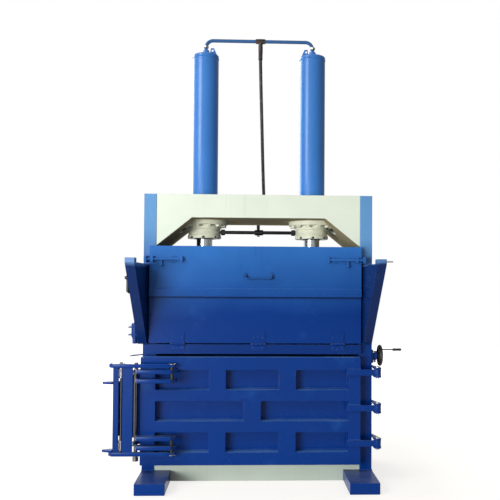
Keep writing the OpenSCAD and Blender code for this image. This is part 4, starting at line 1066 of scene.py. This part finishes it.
class BALER_OT_lock_sheets(bpy.types.Operator):
    """The folded channel behind the link rod, the keeper web, the bars along the edges of the
    lock's plates, and the feed door's hem"""
    bl_idname = "baler.lock_sheets"
    bl_label = "Fold the lock's sheet parts"

    def execute(self, context):
        self.link_channel()
        self.keeper_web()
        self.plate_bars()
        self.door_hem()
        return {"FINISHED"}

    def link_channel(self):
        """A folded channel behind the link rod, open to the front"""
        (x, y), hooks = box_middle("link_rod"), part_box("lock_hooks")
        left, right, front, back = x - 0.040, x + 0.072, y - 0.0255, y + 0.0190
        corner = back - FOLD[-1][1]
        line = [(left, front)]
        line += [(left + dx, corner + dy) for dx, dy in FOLD]
        line += [(right - dx, corner + dy) for dx, dy in reversed(FOLD)]
        line += [(right, front)]
        add_piece("lock_channel", raised(bent_sheet(line, -0.003), hooks[0][2] + 0.090,
                                         hooks[1][2] - 0.090),
                  "lock_frame", "blue_paint", 30)

    def keeper_web(self):
        """A folded web between the keeper lugs"""
        low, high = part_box("keeper_lugs")
        edge, rear, fold = low[0] - 0.028, high[1] - 0.014, 0.006
        line = [(high[0] + 0.0004, rear), (edge + fold, rear),
                (edge + fold * 0.3, rear - fold * 0.3), (edge, rear - fold),
                (edge, rear - 0.020)]
        add_piece("keeper_web", raised(bent_sheet(line, -0.004), low[2] + LUG_T + 0.001,
                                       high[2] - LUG_T - 0.001),
                  "frame", "blue_paint", 30)

    def plate_bars(self):
        """Bars on edge along the front and left edges of the lock frame's and the door's plates"""
        arms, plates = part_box("lock_frame"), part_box("lock_brackets")
        (x, y), pivot = box_middle("link_rod"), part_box("lock_pins")[0][0] + PIN_R
        left, front = plates[0][0] + 0.0005, plates[0][1] + 0.0005
        for name, body, line, levels in (
                ("lock_arm_bars", "lock_frame",
                 [(pivot - 0.014, front), (x - 0.044, front), (x - 0.0655, y - 0.020),
                  (x - 0.0565, y + 0.010)],
                 (arms[0][2], arms[1][2] - PLATE_T)),
                ("bracket_bars", "bale_door",
                 [(pivot, front), (plates[0][0] + 0.014, front), (left, -0.416),
                  (left, plates[1][1] - 0.004)],
                 (plates[0][2], plates[0][2] + BRACKET_H - PLATE_T,
                  plates[1][2] - BRACKET_H, plates[1][2] - PLATE_T))):
            outline = bent_sheet(line, BAR_T)
            bars = joined([raised(outline, z - BAR_PROUD, z + PLATE_T + BAR_PROUD)
                           for z in levels])
            wear_object(name, softened(mesh_from(name, bars), 0.0015), body,
                        "door_paint")

    def door_hem(self):
        """The rolled lip along the feed door"""
        low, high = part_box("feed_door")
        line = [(x, low[1] + 0.0048, HEM_Z) for x in (low[0] + 0.002, high[0] - 0.002)]
        add_piece("feed_door_hem", tube(line, HEM_R, 16)[:2], "feed_door",
                  "feed_paint")


# ---------------------------------------------------------------- pipes and hose


TEE_FOOT = 2.9138  # lower end of the tee's branch
# The hose's line from the tee to the rear coupling, in millimetres
HOSE_ROUTE = [
    (8, 0, 2950), (8, 0, 2910), (8, 0, 2870), (10, 4, 2780), (14, 30, 2650), (20, 80, 2500),
    (26, 140, 2350), (32, 205, 2200), (38, 265, 2070), (43, 310, 1970), (46, 330, 1915),
    (48, 335, 1876), (48, 335, 1846)]


def smooth_line(route, cuts):
    """Points in metres of the smooth curve through a route"""
    spots, line = [Vector(p) / 1000 for p in route], []
    for i in range(len(spots) - 1):
        a, b = spots[max(i - 1, 0)], spots[i]
        c, d = spots[i + 1], spots[min(i + 2, len(spots) - 1)]
        for k in range(cuts):
            t = k / cuts
            line.append((2 * b + (c - a) * t + (2 * a - 5 * b + 4 * c - d) * t * t
                         + (3 * b - a - 3 * c + d) * t ** 3) / 2)
    return line + [spots[-1]]


def line_length(line):
    return sum((b - a).length for a, b in zip(line, line[1:]))


def ferrule(length, bore):
    """Crimped ferrule: a sleeve pressed in at five places"""
    inner, outer = bore * 0.97, bore * 1.30
    profile = [(inner, 0.0), (outer - 0.0012, 0.0), (outer, 0.0012)]
    first, pitch = length * 0.20, length * 0.13
    for k in range(5):
        z = first + k * pitch
        profile += [(outer, z), (outer - 0.0011, z + pitch * 0.22),
                    (outer - 0.0011, z + pitch * 0.62), (outer, z + pitch * 0.86)]
    profile += [(outer, length - 0.0015), (outer - 0.0015, length), (inner, length)]
    return revolved(profile, 40)


class BALER_OT_pipes(bpy.types.Operator):
    """Pipe nuts, rod wipers and the crimped pressure hose"""
    bl_idname = "baler.pipes"
    bl_label = "Fit pipes and hose"

    def execute(self, context):
        self.nuts(context.scene.baler_fittings.nut_across)
        self.wipers()
        self.hose(context.scene.baler_hose)
        return {"FINISHED"}

    def nuts(self, across):
        """Nuts where the pipe meets the caps and the tee"""
        pipe, tee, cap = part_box("bridge_pipe"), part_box("hose_tee"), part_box("left_cap")
        radius = (pipe[1][1] - pipe[0][1]) / 2
        bore, pipe_z = radius - 0.0002, pipe[1][2] - radius
        upright, level = hex_nut(across, 0.017, bore), hex_nut(0.030, 0.015, bore)
        middle = box_middle("left_cap")[0]
        add_piece("cap_pipe_nuts", joined([placed(upright, (side * middle, 0, cap[1][2] - 0.0003))
                                           for side in (1, -1)]),
                  "frame", "zinc")
        add_piece("tee_nuts", joined([placed(level, (x, 0, pipe_z), (way, 0, 0)) for x, way in
                                      ((tee[0][0] + 0.0003, -1), (tee[1][0] - 0.0003, 1))]),
                  "frame", "dark_fitting")

    def wipers(self):
        """Lips round the rods, under the glands"""
        forms = []
        for side in ("left", "right"):
            rod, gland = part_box(side + "_rod"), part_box(side + "_gland")
            bore = (rod[1][0] - rod[0][0]) / 2 + 0.0004
            lip = [(bore, 0.0), (bore + 0.0015, -0.0045), (bore + 0.0065, -0.0040),
                   (bore + 0.0105, -0.0005), (bore + 0.0105, 0.0004), (bore, 0.0004)]
            forms.append(placed(revolved(lip, 64), (*box_middle(side + "_rod"), gland[0][2])))
        add_piece("rod_wipers", joined(forms), "frame", "seal")

    def hose(self, hose):
        """The hose, with a ferrule at each end"""
        line, fine = smooth_line(HOSE_ROUTE, 2), smooth_line(HOSE_ROUTE, 8)
        bore = hose.diameter / 2
        points, faces, places = tube(fine, bore, 24)
        mesh = bpy.data.meshes.new("pressure_hose")
        mesh.from_pydata([tuple(p) for p in points], [], faces)
        layer = mesh.uv_layers.new(name="along_hose")
        for corner, point in enumerate(layer.data):
            point.uv = places[mesh.loops[corner].vertex_index]
        piece = wear_object("pressure_hose", smoothed(mesh, 40), "frame",
                            "hose_rubber")
        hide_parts("hose")
        foot_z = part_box("bulkhead_couplings")[1][2] - 0.0003
        top = placed(ferrule(hose.ferrule, bore), (fine[0].x, fine[0].y, TEE_FOOT), (0, 0, -1))
        foot = placed(ferrule(hose.ferrule * 0.8, bore), (fine[-1].x, fine[-1].y, foot_z))
        ends = [add_piece("top_ferrule", top, "frame", "dark_fitting"),
                add_piece("foot_ferrule", foot, "frame", "zinc")]
        tuple(line[0])
        line_length(line)
        [tuple(p) for p in line]


# ---------------------------------------------------------------- studio


class BALER_OT_stage(bpy.types.Operator):
    """Camera, pale floor and soft studio light"""
    bl_idname = "baler.stage"
    bl_label = "Set up camera and light"

    def execute(self, context):
        self.camera(context.scene.baler_stage)
        self.floor()
        self.world()
        for name, at, target, wide, high, watts in (
                ("key_light", (-3.4, -2.8, 3.6), (0, -0.3, 1.5), 1.8, 1.8, 70),
                ("front_light", (-4.3, -6.8, 1.0), (0, -0.3, 1.6), 3.6, 2.4, 490),
                ("rear_light", (-2.6, 3.3, 3.4), (0, 0.3, 1.6), 4.0, 2.6, 120)):
            self.lamp(name, at, target, wide, high, watts)
        context.scene.view_settings.view_transform = "Standard"
        return {"FINISHED"}

    def camera(self, stage):
        data = bpy.data.cameras.new("studio_camera")
        data.sensor_width, data.lens = 36, stage.lens
        data.shift_x, data.shift_y = stage.shift_x, stage.shift_y
        data.clip_end = 60
        camera = bpy.data.objects.new("studio_camera", data)
        bpy.context.scene.collection.objects.link(camera)
        yaw, pitch, roll = stage.camera_yaw, stage.camera_pitch, stage.camera_roll
        right = Vector((math.cos(yaw), math.sin(yaw), 0))
        level = Vector((-math.sin(yaw), math.cos(yaw), 0))
        ahead = level * math.cos(pitch) + Vector((0, 0, math.sin(pitch)))
        up = right.cross(ahead)
        turned = right * math.cos(roll) + up * math.sin(roll)
        upright = up * math.cos(roll) - right * math.sin(roll)
        grid = Matrix((turned, upright, -ahead)).transposed().to_4x4()
        grid.translation = stage.camera_at
        camera.matrix_world = grid
        bpy.context.scene.camera = camera

    def lamp(self, name, at, target, wide, high, watts):
        data = bpy.data.lights.new(name, "AREA")
        data.shape, data.size, data.size_y, data.energy = "RECTANGLE", wide, high, watts
        lamp = bpy.data.objects.new(name, data)
        bpy.context.scene.collection.objects.link(lamp)
        lamp.location = at
        lamp.rotation_euler = (Vector(target) - Vector(at)).to_track_quat("-Z", "Y").to_euler()

    def floor(self):
        """A pale floor that glows only where it is seen, directly, in gloss or through glass"""
        half, level = 9.0, -0.0005
        mesh = bpy.data.meshes.new("studio_floor")
        mesh.from_pydata([(-half, -half, level), (half, -half, level), (half, half, level),
                          (-half, half, level)], [], [(0, 1, 2, 3)])
        floor = bpy.data.objects.new("studio_floor", mesh)
        bpy.context.scene.collection.objects.link(floor)
        f = Finish("pale_floor")
        camera, gloss, through = f.rays("Camera", "Glossy", "Transmission")
        seen = camera.math("MAXIMUM", gloss.math("MAXIMUM", through))
        away = f.node("ShaderNodeVectorMath", {"operation": "LENGTH"}, {0: f.place()},
                      output="Value").between(1.2, 4.0)
        matt = f.node("ShaderNodeBsdfDiffuse", {}, {"Color": (0.41, 0.38, 0.32)})
        glow = f.node("ShaderNodeEmission", {}, {
            "Color": (1, 1, 1), "Strength": seen * (away * 0.40 + 0.72)})
        mesh.materials.append(f.end(f.node("ShaderNodeAddShader", {}, {0: matt, 1: glow})))

    def world(self):
        """White to the camera and through glass, bright on the left in gloss, dim as light"""
        f = Finish("studio_world", "worlds")
        way = f.node("ShaderNodeTexCoord", output="Generated")
        left = f.node("ShaderNodeSeparateXYZ", {}, {0: way}, output=0).between(0.9, -0.5)
        above = f.node("ShaderNodeSeparateXYZ", {}, {0: way}, output=2).between(0.1, 0.8)
        camera, gloss, through = f.rays("Camera", "Glossy", "Transmission")
        behind = camera.math("MAXIMUM", through)
        strength = behind.math("MAXIMUM", gloss * (left * 0.7 + 0.3)).math(
            "MAXIMUM", left * 0.24 + above * 0.35 + 0.13)
        sky = f.node("ShaderNodeBackground", {}, {"Color": (1, 1, 1), "Strength": strength})
        bpy.context.scene.world = f.end(sky, "World")


# ---------------------------------------------------------------- panel and start


STEPS = (BALER_OT_finishes, BALER_OT_stage, BALER_OT_pipes, BALER_OT_plates,
         BALER_OT_lock_sheets, BALER_OT_welds, BALER_OT_fasteners)


class BALER_PT_panel(bpy.types.Panel):
    """Sizes, colours and steps of the baler"""
    bl_idname = "BALER_PT_panel"
    bl_label = "Cotton baler"
    bl_space_type = "VIEW_3D"
    bl_region_type = "UI"
    bl_category = "Baler"

    def draw(self, context):
        for name, group in GROUPS.items():
            box = self.layout.box()
            for setting in group.__annotations__:
                box.prop(getattr(context.scene, name), setting)
        for step in STEPS:
            self.layout.operator(step.bl_idname)


CLASSES = (*GROUPS.values(), *STEPS, BALER_PT_panel)


def register():
    for group in CLASSES:
        bpy.utils.register_class(group)
    for name, group in GROUPS.items():
        setattr(bpy.types.Scene, name, PointerProperty(type=group))


def unregister():
    for name in GROUPS:
        delattr(bpy.types.Scene, name)
    for group in reversed(CLASSES):
        bpy.utils.unregister_class(group)


def main():
    register()
    bpy.ops.baler.finishes()
    bpy.ops.baler.stage()
    bpy.ops.baler.pipes()
    bpy.ops.baler.plates()
    bpy.ops.baler.lock_sheets()
    bpy.ops.baler.welds()
    bpy.ops.baler.fasteners()


if __name__ == "__main__":
    main()
